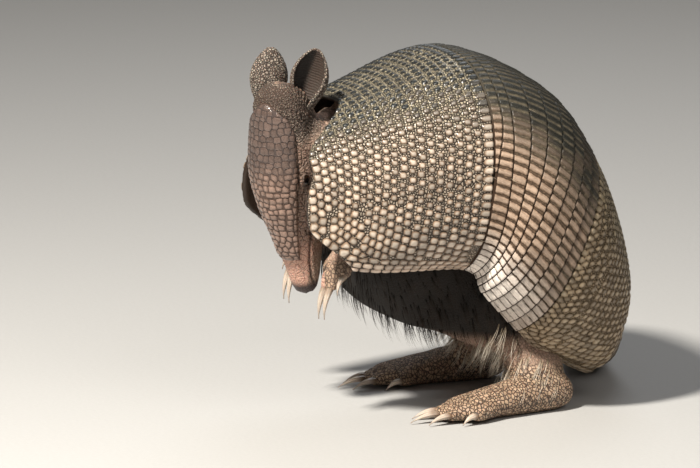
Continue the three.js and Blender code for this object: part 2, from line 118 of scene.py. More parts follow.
class Finish:
    def __init__(self, name, **look):
        self.material = bpy.data.materials.new(name)
        self.material.use_nodes = True
        self.tree = self.material.node_tree
        self.shader = self.tree.nodes["Principled BSDF"]
        for socket, value in look.items():
            self.shader.inputs[socket.replace("_", " ")].default_value = value

    def add(self, kind, settings, values, out=0):
        node = self.tree.nodes.new(kind)
        for setting, value in settings.items():
            setattr(node, setting, value)
        for socket, value in values.items():
            self.feed(node.inputs[socket], value)
        return Socket(self, node.outputs[out])

    def feed(self, socket, value):
        if isinstance(value, Socket):
            self.tree.links.new(value.socket, socket)
        else:
            socket.default_value = value

    def number(self, value):
        return self.add("ShaderNodeMath", {"operation": "ADD"}, {0: value, 1: 0})

    def attribute(self, name, out="Fac"):
        return self.add("ShaderNodeAttribute", {"attribute_name": name}, {}, out)

    def attributes(self, names):
        return [self.attribute(name) for name in names.split()]

    def place(self, stretch):
        spot = self.add("ShaderNodeTexCoord", {}, {}, out="Object")
        return self.add("ShaderNodeMapping", {}, {"Vector": spot, "Scale": stretch})

    def noise(self, size, detail=3, stretch=(1, 1, 1), rough=0.5):
        """Soft blotches about `size` millimetres across, 0 to 1."""
        return self.add("ShaderNodeTexNoise", {},
                        {"Vector": self.place(stretch), "Scale": 1000 / size, "Detail": detail,
                         "Roughness": rough}, out="Fac")

    def cells(self, size, feature="DISTANCE_TO_EDGE", stretch=(1, 1, 1), out="Distance"):
        return self.add("ShaderNodeTexVoronoi", {"feature": feature},
                        {"Vector": self.place(stretch), "Scale": 1000 / size}, out=out)

    def mix(self, share, one, other):
        """From one colour to another by a share of 0 to 1."""
        colour = lambda c: c if isinstance(c, Socket) else (*c, 1)
        return self.add("ShaderNodeMix", {"data_type": "RGBA"},
                        {0: share, 6: colour(one), 7: colour(other)}, out=2)

    def done(self, colour, roughness, height=None, depth=None):
        self.feed(self.shader.inputs["Base Color"], colour)
        self.feed(self.shader.inputs["Roughness"], roughness)
        if height is not None:
            bump = self.add("ShaderNodeBump", {}, {"Height": height, "Distance": depth},
                            out="Normal")
            self.feed(self.shader.inputs["Normal"], bump)
        return self.material


paint = Finish("floor_paint", Roughness=0.7)
speckle = paint.noise(2.5, detail=4)
floor_paint = paint.done(paint.mix(speckle, (0.43, 0.43, 0.43), (0.49, 0.49, 0.49)),
                         speckle * 0.1 + 0.6, speckle, depth=0.0001)
bpy.ops.mesh.primitive_plane_add(size=8, location=(0, 0, -0.0002))
floor = bpy.context.object
floor.name = "floor"
floor.data.materials.append(floor_paint)


# ---------------------------------------------------------------- shell: its form
# The shell is bony plates under thin horn, one over each part of the back. All of them lie on
# one arched surface, which is drawn through eight cross-sections from the shoulders to the rump.

# Millimetres, with zero on the floor under the top of the shoulder shield's rear edge: where
# each cross-section meets the back and the hem (y, z), its half width, how far it is tucked
# under, in degrees, and where the belly's lowest line runs below it.
SHELL = np.array([
    (-107, 164, -102, 93, 47, 114, -80, 84), (-55, 185, -66, 87, 61, 126, -58, 64),
    (0, 201, -7, 82, 73, 150, -28, 47), (48, 181, 1, 69.5, 83, 150, -6, 40),
    (72, 151, 23, 46, 81, 150, 16, 30), (88, 118, 39, 32.5, 73, 150, 36, 24),
    (101, 80, 75, 14, 50, 150, 70, 16), (102, 50, 90, 16, 29, 150, 86, 18)], float)
ARCH_POWER = 2.43       # of the arch's cross-section, where 2 is an ellipse


def detail(full, quick):
    """The first, always. The second, meant for a quick render, is not used."""
    return full


def through(values, at):
    """A smooth curve through equally spaced values, or rows of values."""
    values, at = np.asarray(values, float), np.asarray(at, float)
    i = np.clip(np.floor(at).astype(int), 0, len(values) - 2)
    t = (at - i).reshape(at.shape + (1,) * (values.ndim - 1))
    ends = np.concatenate([[2 * values[0] - values[1]], values, [2 * values[-1] - values[-2]]])
    a, b, c, d = (ends[i + k] for k in range(4))
    return 0.5 * (2 * b + (c - a) * t + (2 * a - 5 * b + 4 * c - d) * t**2
                  + (3 * b - a - 3 * c + d) * t**3)


def smooth(x, low, high):
    """0 below low and 1 above high, smooth between."""
    t = np.clip((np.asarray(x, float) - low) / (high - low), 0, 1)
    return t * t * (3 - 2 * t)


def unit(way):
    """The same direction, one long."""
    return way / np.maximum(np.linalg.norm(way, axis=-1, keepdims=True), 1e-9)


def arch(value):
    """A sine or cosine, for an arch that is squarer than an ellipse."""
    return np.sign(value) * np.abs(value) ** (2 / ARCH_POWER)


def shell_point(section, share):
    """Outside of the shell at a section number and a share of the way round to the hem."""
    back_y, back_z, hem_y, hem_z, half, tuck = np.moveaxis(through(SHELL, section), -1, 0)[:6]
    tuck = np.radians(tuck)
    low = arch(np.cos(tuck))
    rise = (arch(np.cos(tuck * share)) - low) / (1 - low)
    return np.stack([half * arch(np.sin(tuck * share)), hem_y + (back_y - hem_y) * rise,
                     hem_z + (back_z - hem_z) * rise], -1)


def frame_at(surface, section, share):
    """The unit directions along a surface, round it and out of it."""
    along = surface(section + 0.02, share) - surface(section - 0.02, share)
    around = surface(section, share + 0.01) - surface(section, share - 0.01)
    return unit(along), unit(around), unit(np.cross(around, along))


# The head hangs from its crown, turned to the animal's left, with the muzzle tucked back.
HEAD_AT, HEAD_TURN, HEAD_TUCK = np.array([6, -103.5, 176]), math.radians(28), math.radians(13)
turn = np.array(Matrix.Rotation(HEAD_TURN, 3, "Z"))
head_down = turn @ [0, math.sin(HEAD_TUCK), -math.cos(HEAD_TUCK)]
head_left = turn @ [1, 0, 0]
head_fore = np.cross(head_down, head_left)


def in_head(along, left, fore):
    """A place in the head: from the crown to the nose, to its left, out of the forehead."""
    parts = np.broadcast_arrays(*(np.asarray(p, float)[..., None] for p in (along, left, fore)))
    return HEAD_AT + parts[0] * head_down + parts[1] * head_left + parts[2] * head_fore


# The middle of the left eye tells where this zero lies in the row's frame.
EYE_AT = (39, 16.2, 7)
ORIGIN = np.mean([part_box("eye_left")[0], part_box("eye_left")[1]], axis=0) - in_head(*EYE_AT) / 1000


def set_values(mesh, key, values):
    """A number or a vector at each point of a mesh, for its finish or its coat."""
    values = np.asarray(values, np.float32)
    kind, field = ("FLOAT", "value") if values.ndim == 1 else ("FLOAT_VECTOR", "vector")
    if key not in mesh.attributes:
        mesh.attributes.new(key, kind, "POINT")
    mesh.attributes[key].data.foreach_set(field, values.ravel())


def piece(name, points, faces, material, **values):
    """A mesh object from millimetre points, with a value at each point for its finish."""
    mesh = bpy.data.meshes.new(name)
    mesh.from_pydata((np.asarray(points) / 1000 + ORIGIN).tolist(), [],
                     faces if isinstance(faces, list) else faces.tolist())
    mesh.polygons.foreach_set("use_smooth", np.ones(len(mesh.polygons), bool))
    for key, value in values.items():
        set_values(mesh, key, np.ravel(value))
    mesh.materials.append(material)
    return linked(name, mesh)


def lay_out(body, along, around):
    """Millimetres along and round the first points of a piece, for what lies flat on it."""
    lay = np.zeros((len(body.data.vertices), 3))
    lay[:along.size, 0], lay[:along.size, 1] = along.ravel(), around.ravel()
    set_values(body.data, "lay", lay)
    return body


def grid_faces(rows, columns, start=0, loop=False):
    """Quads of a grid of points numbered row by row, closed round each row if it is a loop."""
    i, j = np.meshgrid(np.arange(rows - 1), np.arange(columns - (not loop)), indexing="ij")
    a, b = i * columns + j, i * columns + (j + 1) % columns
    return start + np.stack([a, b, b + columns, a + columns], -1).reshape(-1, 4)


def zipped(outer, inner):
    """Triangles between two edges that run side by side, with unequal numbers of points."""
    faces, i, j = [], 0, 0
    while i < len(outer) - 1 or j < len(inner) - 1:
        if j == len(inner) - 1 or (i < len(outer) - 1 and
                                   (i + 1) / (len(outer) - 1) <= (j + 1) / (len(inner) - 1)):
            faces.append((int(outer[i]), int(inner[j]), int(outer[i + 1])))
            i += 1
        else:
            faces.append((int(outer[i]), int(inner[j]), int(inner[j + 1])))
            j += 1
    return faces


COARSE = 6      # how many steps of the outside one step of a plate's plain underside spans


def closed_plate(outside, inside):
    """Points and faces of a plate: a fine outside, a plain underside and the rim between."""
    rows, columns = outside.shape[:2]
    r = np.unique(np.append(np.arange(0, rows - 1, COARSE), rows - 1))
    c = np.unique(np.append(np.arange(0, columns - 1, COARSE), columns - 1))
    under = inside[np.ix_(r, c)]
    start = rows * columns
    top = np.arange(start).reshape(rows, columns)
    low = start + np.arange(len(r) * len(c)).reshape(len(r), len(c))
    faces = grid_faces(rows, columns).tolist()
    faces += grid_faces(len(r), len(c), start)[:, ::-1].tolist()
    for edge in ((top[0], low[0]), (top[:, -1], low[:, -1]),
                 (top[-1, ::-1], low[-1, ::-1]), (top[::-1, 0], low[::-1, 0])):
        faces += zipped(*edge)
    return np.concatenate([outside.reshape(-1, 3), under.reshape(-1, 3)]), faces


def plate_piece(name, outside, inside, material, **values):
    """A plate with values at each point of its outside. Its underside is bare, at -1."""
    points, faces = closed_plate(outside, inside)
    shape = outside.shape[:2]
    bare = np.full(len(points) - shape[0] * shape[1], -1.0)
    return piece(name, points, faces, material, **{
        key: np.append(np.broadcast_to(value, shape), bare) for key, value in values.items()})


# ---------------------------------------------------------------- shell: its scutes
# Horn scutes cover the bone. On the shields each big scute stands in a ring of small ones, and
# towards the hem they are large, smooth and close. Every scute is a low rounded boss with a
# dark seam round it, pressed into the mesh itself.

def lengths_along(points):
    """How far along a line of points, or along each of a row of lines, every point is."""
    steps = np.linalg.norm(np.diff(points, axis=0), axis=-1)
    return np.concatenate([np.zeros((1, *steps.shape[1:])), np.cumsum(steps, 0)])


def arc_lengths(section, shares):
    """How far round the back of one section each share is."""
    return lengths_along(shell_point(section + 0 * shares, shares))


def even_shares(section, reach, step):
    """Shares from -reach to reach that are about `step` millimetres apart round a section."""
    fine = np.linspace(-reach, reach, 4001)
    lengths = arc_lengths(section, fine)
    count = int(lengths[-1] / step) + 1
    return np.interp(np.linspace(0, lengths[-1], count), lengths, fine)


def share_at(section, distance):
    """The share that lies this far round from the middle of the back, either way."""
    fine = np.linspace(0, 1.05, 800)
    return np.sign(distance) * np.interp(np.abs(distance), arc_lengths(section, fine), fine)


def half_arc(section):
    """How far it is from the middle of the back to the hem."""
    return arc_lengths(section, np.linspace(0, 1, 400))[-1]


def tree_of(points):
    """A search tree, for the points nearest to a place."""
    tree = kdtree.KDTree(len(points))
    for i, point in enumerate(points):
        tree.insert(point, i)
    tree.balance()
    return tree


rng = np.random.default_rng(7)
SQUARENESS = 3.4        # of a scute's outline, where 2 is an ellipse
SEAM = 0.085            # half a seam's width, as a share of the scute's size


class Scutes:
    """A pavement of scutes on a surface, given by centres, half lengths and half widths."""

    def __init__(self, surface=shell_point):
        self.rows, self.surface = [], surface

    def add(self, section, share, half_length, half_width):
        self.rows.append((float(section), float(share), half_length, half_width))

    def press(self, section, share):
        """Points of the surface, the way out, the room each has in its scute, and its shade.

        The room is how many millimetres a point is inside the scute's outline.
        """
        base, normal = self.surface(section, share), frame_at(self.surface, section, share)[2]
        points = base.reshape(-1, 3)
        table = np.array(self.rows)
        centres = self.surface(table[:, 0], table[:, 1])
        along, around, _ = frame_at(self.surface, table[:, 0], table[:, 1])
        shade = rng.uniform(0, 1, len(table))
        tree = tree_of(centres)
        near = np.array([[hit[1] for hit in tree.find_n(point, 5)] for point in points])
        way = points[:, None] - centres[near]
        x = np.abs((way * along[near]).sum(-1) / table[near, 2])
        y = np.abs((way * around[near]).sum(-1) / table[near, 3])
        far = (x**SQUARENESS + y**SQUARENESS) ** (1 / SQUARENESS)
        order = np.argsort(far, axis=1)
        first, second = (np.take_along_axis(far, order[:, k:k + 1], 1)[:, 0] for k in (0, 1))
        owner = np.take_along_axis(near, order[:, :1], 1)[:, 0]
        size = np.sqrt(table[owner, 2] * table[owner, 3])
        room = np.minimum(1 - first, (second - first) / 2 - SEAM) * size
        return base, normal, room.reshape(section.shape), shade[owner].reshape(section.shape)


def horn(name, flank, crown, back, small_flank, small_back, seam, gloss,
         pale=(0.54, 0.42, 0.34), seam_back=(0.024, 0.020, 0.014), small=1.55, lines=0,
         vary=0.65, wet=0.0):
    """Horn over bone: scutes brown with pale crowns on the flank, partly wear and partly painted
    highlight, and slate along the back.

    Between the scutes lie small ones of this pitch, or fine lines as far apart as `lines`.
    """
    finish = Finish(name, IOR=1.46, Coat_Weight=wet, Coat_Roughness=0.13,
                    Specular_IOR_Level=0.36)
    room, rim, shade, up, hem = finish.attributes("room rim shade up hem")
    blotch, grit = finish.noise(16, detail=4), finish.noise(0.9, detail=4, rough=0.7)
    up = (up + (blotch - 0.5) * 0.40 + (shade - 0.5) * 0.34).ramp(0.0, 0.84)
    lay = finish.attribute("lay", out="Vector")
    grain = finish.add("ShaderNodeMapping", {}, {"Vector": lay, "Scale": (0.22, 1.5, 1)})
    grain = finish.add("ShaderNodeTexNoise", {}, {"Vector": grain, "Scale": 1.0, "Detail": 4,
                                                  "Roughness": 0.65}, out="Fac")
    room = room + (grit - 0.5) * 0.14 + (grain - 0.5) * (1.1 if lines else 0)
    scute = (room.ramp(-0.30, 0.40) if lines else room.ramp(-0.10, 0.20)) * rim.ramp(0.05, 0.35)
    beside = 1 - (room.ramp(-0.30, 0.30) if lines else room.ramp(-0.16, -0.02))
    if lines:
        between = (room * (2 * math.pi / lines)).maths("COSINE").ramp(-0.15, 0.75)
        own = finish.noise(1.6, detail=1).ramp(0.3, 0.7)
        between = between * 0.6 + 0.4
    else:
        cell = {"Vector": lay, "Scale": 1 / small, "Randomness": 0.85}
        between = finish.add("ShaderNodeTexVoronoi", {"feature": "DISTANCE_TO_EDGE",
                             "voronoi_dimensions": "2D"}, cell).ramp(0.06, 0.30)
        tint = finish.add("ShaderNodeTexVoronoi", {"voronoi_dimensions": "2D"}, cell, out="Color")
        own = finish.add("ShaderNodeSeparateXYZ", {}, {"Vector": tint})
    between = between * beside * rim.ramp(0.3, 0.8)
    # Partly painted highlight: each scute's crown is painted paler than its rim, for wear and for the
    # light on its dome.
    worn_and_highlit = finish.mix(room.ramp(0.15, 1.25) * (1 - grit * 0.4), flank, crown)
    horn_colour = finish.mix(hem, finish.mix(up, worn_and_highlit, back), pale)
    small_colour = finish.mix(up, small_flank, small_back)
    stain = finish.noise(2.6, detail=3)
    own = own * beside + shade * (1 - beside) + (grit - 0.5) * 0.7 + (stain - 0.5) * 0.8 \
        + (grain - 0.5) * (1.9 if lines else 0.4)
    plate = finish.mix(beside, horn_colour, small_colour)
    plate = finish.add("ShaderNodeHueSaturation", {},
                       {"Value": own.ramp(0, 1) * vary + (1.06 - vary / 2), "Color": plate},
                       out="Color")
    rise = scute.maths("MAXIMUM", between)
    colour = finish.mix(rise.ramp(0.15, 0.75), finish.mix(up, seam, seam_back), plate)
    roughness = 0.80 - rise.ramp(0.3, 0.9) * (0.80 - gloss) + (grit - 0.5) * 0.2
    height = scute * 1.2 + between * 1.1 + grit * 0.5 + finish.noise(0.35, detail=2) * 0.25
    return finish.done(colour, roughness, height, depth=0.00045)


shield_horn = horn("shield_horn", flank=(0.225, 0.148, 0.096), crown=(0.58, 0.505, 0.43),
                   back=(0.016, 0.018, 0.018), small_flank=(0.38, 0.315, 0.250),
                   small_back=(0.275, 0.240, 0.168), seam=(0.020, 0.010, 0.005),
                   seam_back=(0.030, 0.026, 0.020), gloss=0.26, wet=0.40)

# The shoulder shield. Its front edge is notched over the neck and rounded off at its lower
# corners. Behind, it ends in a row of long scutes like those of the bands.
SHOULDER_END, END_GAP = 2, 0.012            # sections
SCUTE_ROW, SCUTE_PITCH = 0.086, 4.85        # sections, and millimetres round the back
FLANK = 70              # millimetres round from the middle of the back to half way down


def bell(values, width):
    """1 at zero, falling off to nothing either way over twice this width."""
    return np.exp(-(values / width) ** 2)


def shoulder_front(share):
    return (0.7 * (1 - smooth(np.abs(share), 0.05, 0.5))
            + 0.72 * smooth(np.abs(share), 0.78, 1.02)
            + 0.13 * bell(np.abs(share) - 0.51, 0.12))


def shoulder_rear(share):
    return SHOULDER_END - END_GAP + 0 * np.asarray(share, float)


def hem_rows(scutes, front, rear, rows, pitch):
    """Large close scutes in rows along the hem: how far in each row is, and its half width."""
    for row, (inset, half_width) in enumerate(rows):
        for side in (-1, 1):
            section = front(side) - 0.25 + 0.05 * row
            while section < rear(side):
                step = np.linalg.norm(shell_point(np.array(section + 0.01), side)
                                      - shell_point(np.array(section), side))
                share = share_at(section, half_arc(section) - inset)
                length = pitch * rng.uniform(0.90, 1.10)
                section += length * 0.005 / step
                if section > front(side * share) - 0.02:
                    scutes.add(section, side * share, length * 0.5, half_width)
                section += length * 0.005 / step


def shield_rows(scutes, sections, front, rear, pitch, sizes, hem):
    """Staggered rows of scutes round the back, larger towards the hem and the front edge."""
    shift, placed = 0.0, np.full((1, 3), 1e6)
    for section in sections:
        half = half_arc(section) - hem
        for spot in np.arange(shift % pitch, half, pitch):
            for side in (-1, 1):
                s = section + rng.uniform(-0.008, 0.008)
                h = share_at(section, side * (spot + rng.uniform(-0.35, 0.35)))
                spot_now = shell_point(np.array(s), np.array(h))
                clear = np.sqrt(((placed - spot_now) ** 2).sum(-1).min()) > 0.80 * pitch
                if clear and front(h) + 0.01 < s < rear(h) - 0.005:
                    placed = np.append(placed, spot_now[None], 0)
                    grow = (rng.uniform(0.86, 1.10) - 0.14 * (1 - smooth(abs(h), 0.3, 0.5))
                            + 0.42 * smooth(spot, half - 32, half - 6)
                            + 0.24 * smooth(front(h) + 0.42 - s, 0, 0.42)
                            * smooth(abs(h), 0.3, 0.5))
                    scutes.add(s, h, sizes[0] * grow, sizes[1] * grow)
        # The next row stands in the gaps of this one, half way down the flank.
        after = section + (sections[1] - sections[0])
        fine = np.linspace(0, 1, 400)
        near = ((shell_point(after + 0 * fine, fine) - shell_point(
            np.array(section), np.array(share_at(section, FLANK)))) ** 2).sum(-1).argmin()
        shift += arc_lengths(after, fine)[near] - FLANK + pitch / 2


def rounding(inset, radius):
    """How far down, as a share of its radius, a rounded edge is so far in from its rim."""
    return 1 - np.sqrt(np.clip(1 - (1 - np.clip(inset / radius, 0, 1)) ** 2, 0, 1))


def dome(room, width):
    """How high, as a share, a scute's boss stands where it has so much room."""
    return np.sqrt(np.clip(room / width, 0, 1))


PLATE = 4.0     # a shield's thickness, in millimetres
RIM = 1.2       # millimetres over which a plate's edge is rounded off
MEASURED = 1.5  # the section round which a shield's width is measured


def shield(name, front, rear, step, scutes, boss, material):
    """A shield: its fine outside with the scutes pressed in, its rim rounded, its underside."""
    shares = even_shares((front(0.4) + rear(0.4)) / 2, 1, step)
    ends = [shell_point(edge(shares[::9]), shares[::9]) for edge in (front, rear)]
    rows = int(np.linalg.norm(ends[1] - ends[0], axis=-1).max() * 1.06 / step)
    t = np.linspace(0, 1, rows)[:, None]
    h = np.broadcast_to(shares, (rows, len(shares)))
    s = front(h) + (rear(h) - front(h)) * t
    base, normal, room, shade = scutes.press(s, h)
    across = np.linalg.norm(base[-1] - base[0], axis=-1)
    inset = half_arc(MEASURED) * (1 - np.abs(h))
    edge = np.minimum(np.minimum(t * across, (1 - t) * across), inset)
    height = boss * (0.45 * smooth(room, -0.3, 0.30) + 0.55 * dome(room, 1.7) - 1
                     + 0.10 * rng.uniform(-1, 1, s.shape) * (room < -0.3))
    height -= RIM * rounding(edge, RIM)
    body = plate_piece(name, base + normal * height[..., None], base - normal * PLATE, material,
                       room=room, rim=edge, shade=shade, up=1 - smooth(np.abs(h), 0.08, 0.67),
                       hem=0.6 * (1 - smooth(inset, 2, 12)))
    down = lengths_along(base)
    round_back = np.broadcast_to(arc_lengths(MEASURED, shares) - half_arc(MEASURED), s.shape)
    return lay_out(body, down - down[-1], round_back)


STEP = detail(0.62, 1.2)                    # millimetres between points of a shield
HEM_ROWS = ((1.4, 1.35), (4.6, 1.75), (8.5, 1.9))      # how far in, half width
scutes = Scutes()
shield_rows(scutes, SHOULDER_END - 0.185 - SCUTE_ROW * np.arange(24), shoulder_front,
            shoulder_rear, SCUTE_PITCH, sizes=(1.92, 1.66), hem=10.6)
REAR_ROW, REAR_SCUTE = 1.937, (3.25, 1.85)      # a section; half length and half width
for spot in np.arange(-152, 152, SCUTE_PITCH):
    if abs(spot) < half_arc(1.94) - 10:
        scutes.add(REAR_ROW + rng.uniform(-0.002, 0.002), share_at(REAR_ROW, spot), *REAR_SCUTE)
hem_rows(scutes, shoulder_front, shoulder_rear, HEM_ROWS, pitch=5.9)
shoulder = shield("shoulder_shield", shoulder_front, shoulder_rear, STEP, scutes,
                  boss=1.0, material=shield_horn)
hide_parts("shell_shoulder")
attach(shoulder, "root")

# The pelvic shield, over the hips, is notched over the tail and drawn in behind the thighs.
# Its scutes are smaller and darker, with pits between them.
pelvic_horn = horn("pelvic_horn", flank=(0.225, 0.163, 0.100), crown=(0.370, 0.305, 0.225),
                   back=(0.238, 0.192, 0.122),
                   small_flank=(0.315, 0.228, 0.138), small_back=(0.300, 0.243, 0.150),
                   pale=(0.32, 0.255, 0.19), seam=(0.062, 0.043, 0.025),
                   seam_back=(0.036, 0.027, 0.017), small=1.3, gloss=0.32)
BANDS_END = 4


def pelvic_front(share):
    return BANDS_END + END_GAP + 0 * np.asarray(share, float)


def pelvic_rear(share):
    return (6.38 + 0.06 * smooth(np.abs(share), 0.13, 0.47)
            - 0.36 * smooth(np.abs(share), 0.6, 1))


scutes = Scutes()
shield_rows(scutes, BANDS_END + 0.20 + 0.104 * np.arange(22), pelvic_front, pelvic_rear,
            pitch=4.35, sizes=(1.62, 1.66), hem=9.5)
FRONT_ROW, FRONT_SCUTE = 4.09, (2.5, 1.75)
for spot in np.arange(-170, 170, 4.3):
    if abs(spot) < half_arc(FRONT_ROW) - 9:
        scutes.add(FRONT_ROW, share_at(FRONT_ROW, spot), *FRONT_SCUTE)
hem_rows(scutes, pelvic_front, pelvic_rear, HEM_ROWS[:2], pitch=5.2)
pelvic = shield("pelvic_shield", pelvic_front, pelvic_rear, STEP * 1.12, scutes,
                boss=0.65, material=pelvic_horn)
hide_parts("shell_pelvic")
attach(pelvic, "root")


# ---------------------------------------------------------------- shell: the nine bands
# Between the shields nine hoops of bone, each joined to the next by a fold of skin, let the
# back bend. A hoop shows one row of oblong scutes with narrow dark wedges between them, and its
# rear edge stands over the front of the hoop behind.

BAND_PITCH, FIRST_BAND, FIRST_BAND_REACH = 0.25, 0.12, 0.69     # sections, and a share
BAND_PLATE = 3.2            # a band's thickness, in millimetres
BAND_SCUTES = 73            # oblong scutes round one band
BAND_LIFT, BAND_LIP = 0.45, 0.9     # how far a rear edge stands out; how far it is rounded
BAND_TUCK = 0.12            # how much of a band, as a share, lies under the plate ahead
band_horn = horn("band_horn", flank=(0.29, 0.198, 0.137), crown=(0.39, 0.290, 0.222),
                 back=(0.018, 0.018, 0.015), small_flank=(0.115, 0.075, 0.048),
                 small_back=(0.115, 0.098, 0.068), pale=(0.76, 0.69, 0.63),
                 seam=(0.036, 0.018, 0.009), seam_back=(0.048, 0.041, 0.029), lines=0.8,
                 gloss=0.29, vary=0.62)


def band_rear(band, share):
    """The section of a band's rear edge. The first band tapers out down the flank."""
    if band == 1:
        return SHOULDER_END + FIRST_BAND * (1 - smooth(np.abs(share), 0.4, FIRST_BAND_REACH))
    return SHOULDER_END + BAND_PITCH * (band - 1) + 0 * share


def band_plate(band):
    """One hoop: its scutes, its rounded rear lip and its front edge under the plate ahead."""
    reach = FIRST_BAND_REACH * 0.85 if band == 1 else 1
    middle = SHOULDER_END + BAND_PITCH * (band - 0.5)
    shares = even_shares(middle, reach, STEP * 0.8)
    t = np.linspace(-BAND_TUCK, 1, detail(26, 18))[:, None]
    h = np.broadcast_to(shares, (len(t), len(shares)))
    front = band_rear(band - 1, h) if band > 1 else SHOULDER_END + 0 * h
    rear = band_rear(band, h) - END_GAP / 2
    s = front + (rear - front) * t
    base, normal = shell_point(s, h), frame_at(shell_point, s, h)[2]
    width = np.linalg.norm(base[-1] - base[0], axis=-1) / (1 + BAND_TUCK)
    # Where each point lies in its scute, of those that are numbered round the hoop.
    length, count = arc_lengths(middle, shares), BAND_SCUTES * (1 if band > 1 else 0.6)
    place = (length / length[-1] - 0.5) * count + rng.uniform(0, 1)
    place = place + 0.05 * np.sin(place * 1.7 + band) + (t - 0.5) * 0.08
    number = np.floor(place).astype(int)
    own = lambda least, most: rng.uniform(
        least, most, number.max() - number.min() + 1)[number - number.min()]
    low = smooth(np.abs(h), 0.70, 0.92)
    half = 0.345 + 0.10 * low + own(-0.03, 0.03) - 0.05 * t * (1 - low)
    half = half + 0.02 * np.sin(t * 9 + number * 2.1) + 0.015 * np.sin(t * 23 + number)
    room = (half - np.abs(place - number - 0.5)) * (length[-1] / count)
    edge = np.minimum((t - 0.01) * width, (1 - t) * width)
    inside = smooth(room, -0.1, 0.35) * smooth(edge, 0, 0.5)
    inset = half_arc(middle) * (reach - np.abs(h))
    height = (BAND_LIFT * (1.5 * t - 1) + 0.40 * inside + 0.2 * inside * dome(room, 1.8) - 0.30
              - BAND_LIP * rounding((1 - t) * width, BAND_LIP) - RIM * rounding(inset, RIM))
    rearward = smooth(band + 0 * h, 4, 9.5)
    up = np.maximum(1 - smooth(np.abs(h), 0.20 + 0.02 * band, 0.52 + 0.03 * band),
                    0.55 * rearward) * (1 - 0.36 * rearward)
    body = plate_piece(f"band_{band}", base + normal * height[..., None],
                       base - normal * BAND_PLATE, band_horn, room=room, rim=edge * 1.4,
                       shade=own(0.2, 0.8), up=up,
                       hem=low * (1 - 0.75 * smooth(band + 0 * h, 6, 10)))
    return lay_out(body, t * width + band * 31, length + 0 * t)


for number in range(1, 10):
    band = band_plate(number)
    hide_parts(f"shell_band_{number}")
    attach(band, "root")


# ---------------------------------------------------------------- skin
# One skin covers the head, neck, belly and limbs. Its form is drawn through the same stops as
# the flesh under it, made one surface, then eased at the joints. The lids, the lips, the
# nostrils and the folds are pressed into it.

UNDER_GAP = 1.6             # millimetres between the shell's underside and the flesh
TRUNK_STOPS = np.array([    # section, and how full the trunk is there
    (0.72, 0.4), (0.78, 0.66), (0.9, 0.84), (1.1, 0.95), (1.35, 1), (2, 1), (2.5, 1), (3, 1),
    (3.5, 1), (4, 1), (4.5, 1), (5, 1), (5.5, 1), (5.9, 0.97), (6.15, 0.86), (6.3, 0.6)])
HEAD = np.array([   # from the crown: distance, half width, forehead's height, throat's depth
    (-13, 6, 4, 6), (-9, 12, 9, 13), (-2, 15.5, 12, 19), (8, 17, 14, 23), (20, 19, 17, 25),
    (32, 20.5, 19.5, 25), (40, 20.5, 20, 23.5), (50, 19, 19.5, 21), (60, 17, 18, 18.5),
    (72, 14.2, 14.8, 16), (83, 12.3, 12.6, 14.5), (93, 10.4, 10.2, 12.5), (101, 9, 8.6, 10),
    (107, 7.6, 7, 6.5), (111, 5.4, 4.6, 4)], float)
# Limbs: the middle of each stop, and half its width across and the other way.
NECK = [(0, -50, 136, 40, 33), (0.5, -64, 138, 38, 31), (2, -77, 144, 29, 27),
        (4, -88, 149, 20, 21), (5, -99, 150, 15, 17)]
HIND_LEG = [(14, 32, 66, 12, 17), (17, 34, 54, 14, 19), (21, 37, 42, 15, 19),
            (29, 39, 31, 15, 18), (37, 40, 20, 14, 16), (42, 41, 10, 12, 14)]
HIND_FOOT = [(43, 59, 8.5, 4, 4), (43, 55, 9, 9, 8.5), (43.5, 45, 10, 12, 11.5),
             (45, 29, 9.5, 12.5, 11.5), (47, 10, 8, 13.5, 9.5), (48.5, -7, 6.5, 14.5, 7.5),
             (49, -15, 6, 13.5, 6.5), (49, -19, 5.6, 9, 4.5)]
FOOT_X = 49
HIND_TOES = [   # how far to the side, where it starts, length, spread, length of the claw
    (-12, -2, 11, -0.25, 9), (-6, -12, 14, -0.1, 13), (0.4, -14, 15, 0, 15),
    (6.8, -12, 13, 0.1, 12), (12.2, -2, 10, 0.28, 8)]
FORELEG = [(31, -44, 112, 12, 15), (30, -57, 105, 11, 13), (28.5, -66, 99, 9.5, 11),
           (27, -72, 93.5, 8.6, 9)]
FOREPAW = [(27, -72.5, 93, 8.4, 8), (26.5, -76, 88, 9.6, 7.6), (26, -79, 82.5, 9.6, 6.6),
           (25.6, -80, 79.5, 7, 4.6)]
DIGITS = [      # root, tip of the claw, half width
    ((19.6, -76, 85), (16, -80, 68), 1.9), ((23.4, -80.5, 83), (21.4, -86, 58), 2.9),
    ((28.6, -79.8, 83), (29, -86, 59), 2.7), ((35, -74.5, 88), (39, -82.5, 74), 2.2)]
RIGHT_PAW = np.array([-3, 2, 0])    # the right paw hangs a little wider, clear of the muzzle


def closed_tube(rings):
    """Points and faces of a body through rings of points, with a point at each end."""
    rows, sides = rings.shape[:2]
    n = rows * sides
    ends = [(n, (k + 1) % sides, k) for k in range(sides)]
    ends += [(n + 1, n - sides + k, n - sides + (k + 1) % sides) for k in range(sides)]
    points = np.concatenate([rings.reshape(-1, 3), [rings[0].mean(0)], [rings[-1].mean(0)]])
    return points, grid_faces(rows, sides, loop=True).tolist() + ends


def tube(stops, across=(1, 0, 0), sides=32, fine=5):
    """A round body through stops: centre, half width across, half width the other way."""
    stops, across = np.array(stops, float), np.array(across, float)
    row = through(stops, np.linspace(0, len(stops) - 1, (len(stops) - 1) * fine + 1))
    centre = row[:, :3]
    way = unit(np.gradient(centre, axis=0))
    side = unit(across - way * (way @ across)[:, None])
    other = np.cross(way, side)
    angle = np.linspace(0, 2 * np.pi, sides, endpoint=False)
    rings = (centre[:, None] + side[:, None] * (row[:, 3:4] * np.cos(angle))[..., None]
             + other[:, None] * (row[:, 4:5] * np.sin(angle))[..., None])
    rings[..., 2] = np.maximum(rings[..., 2], 0)
    return closed_tube(rings)


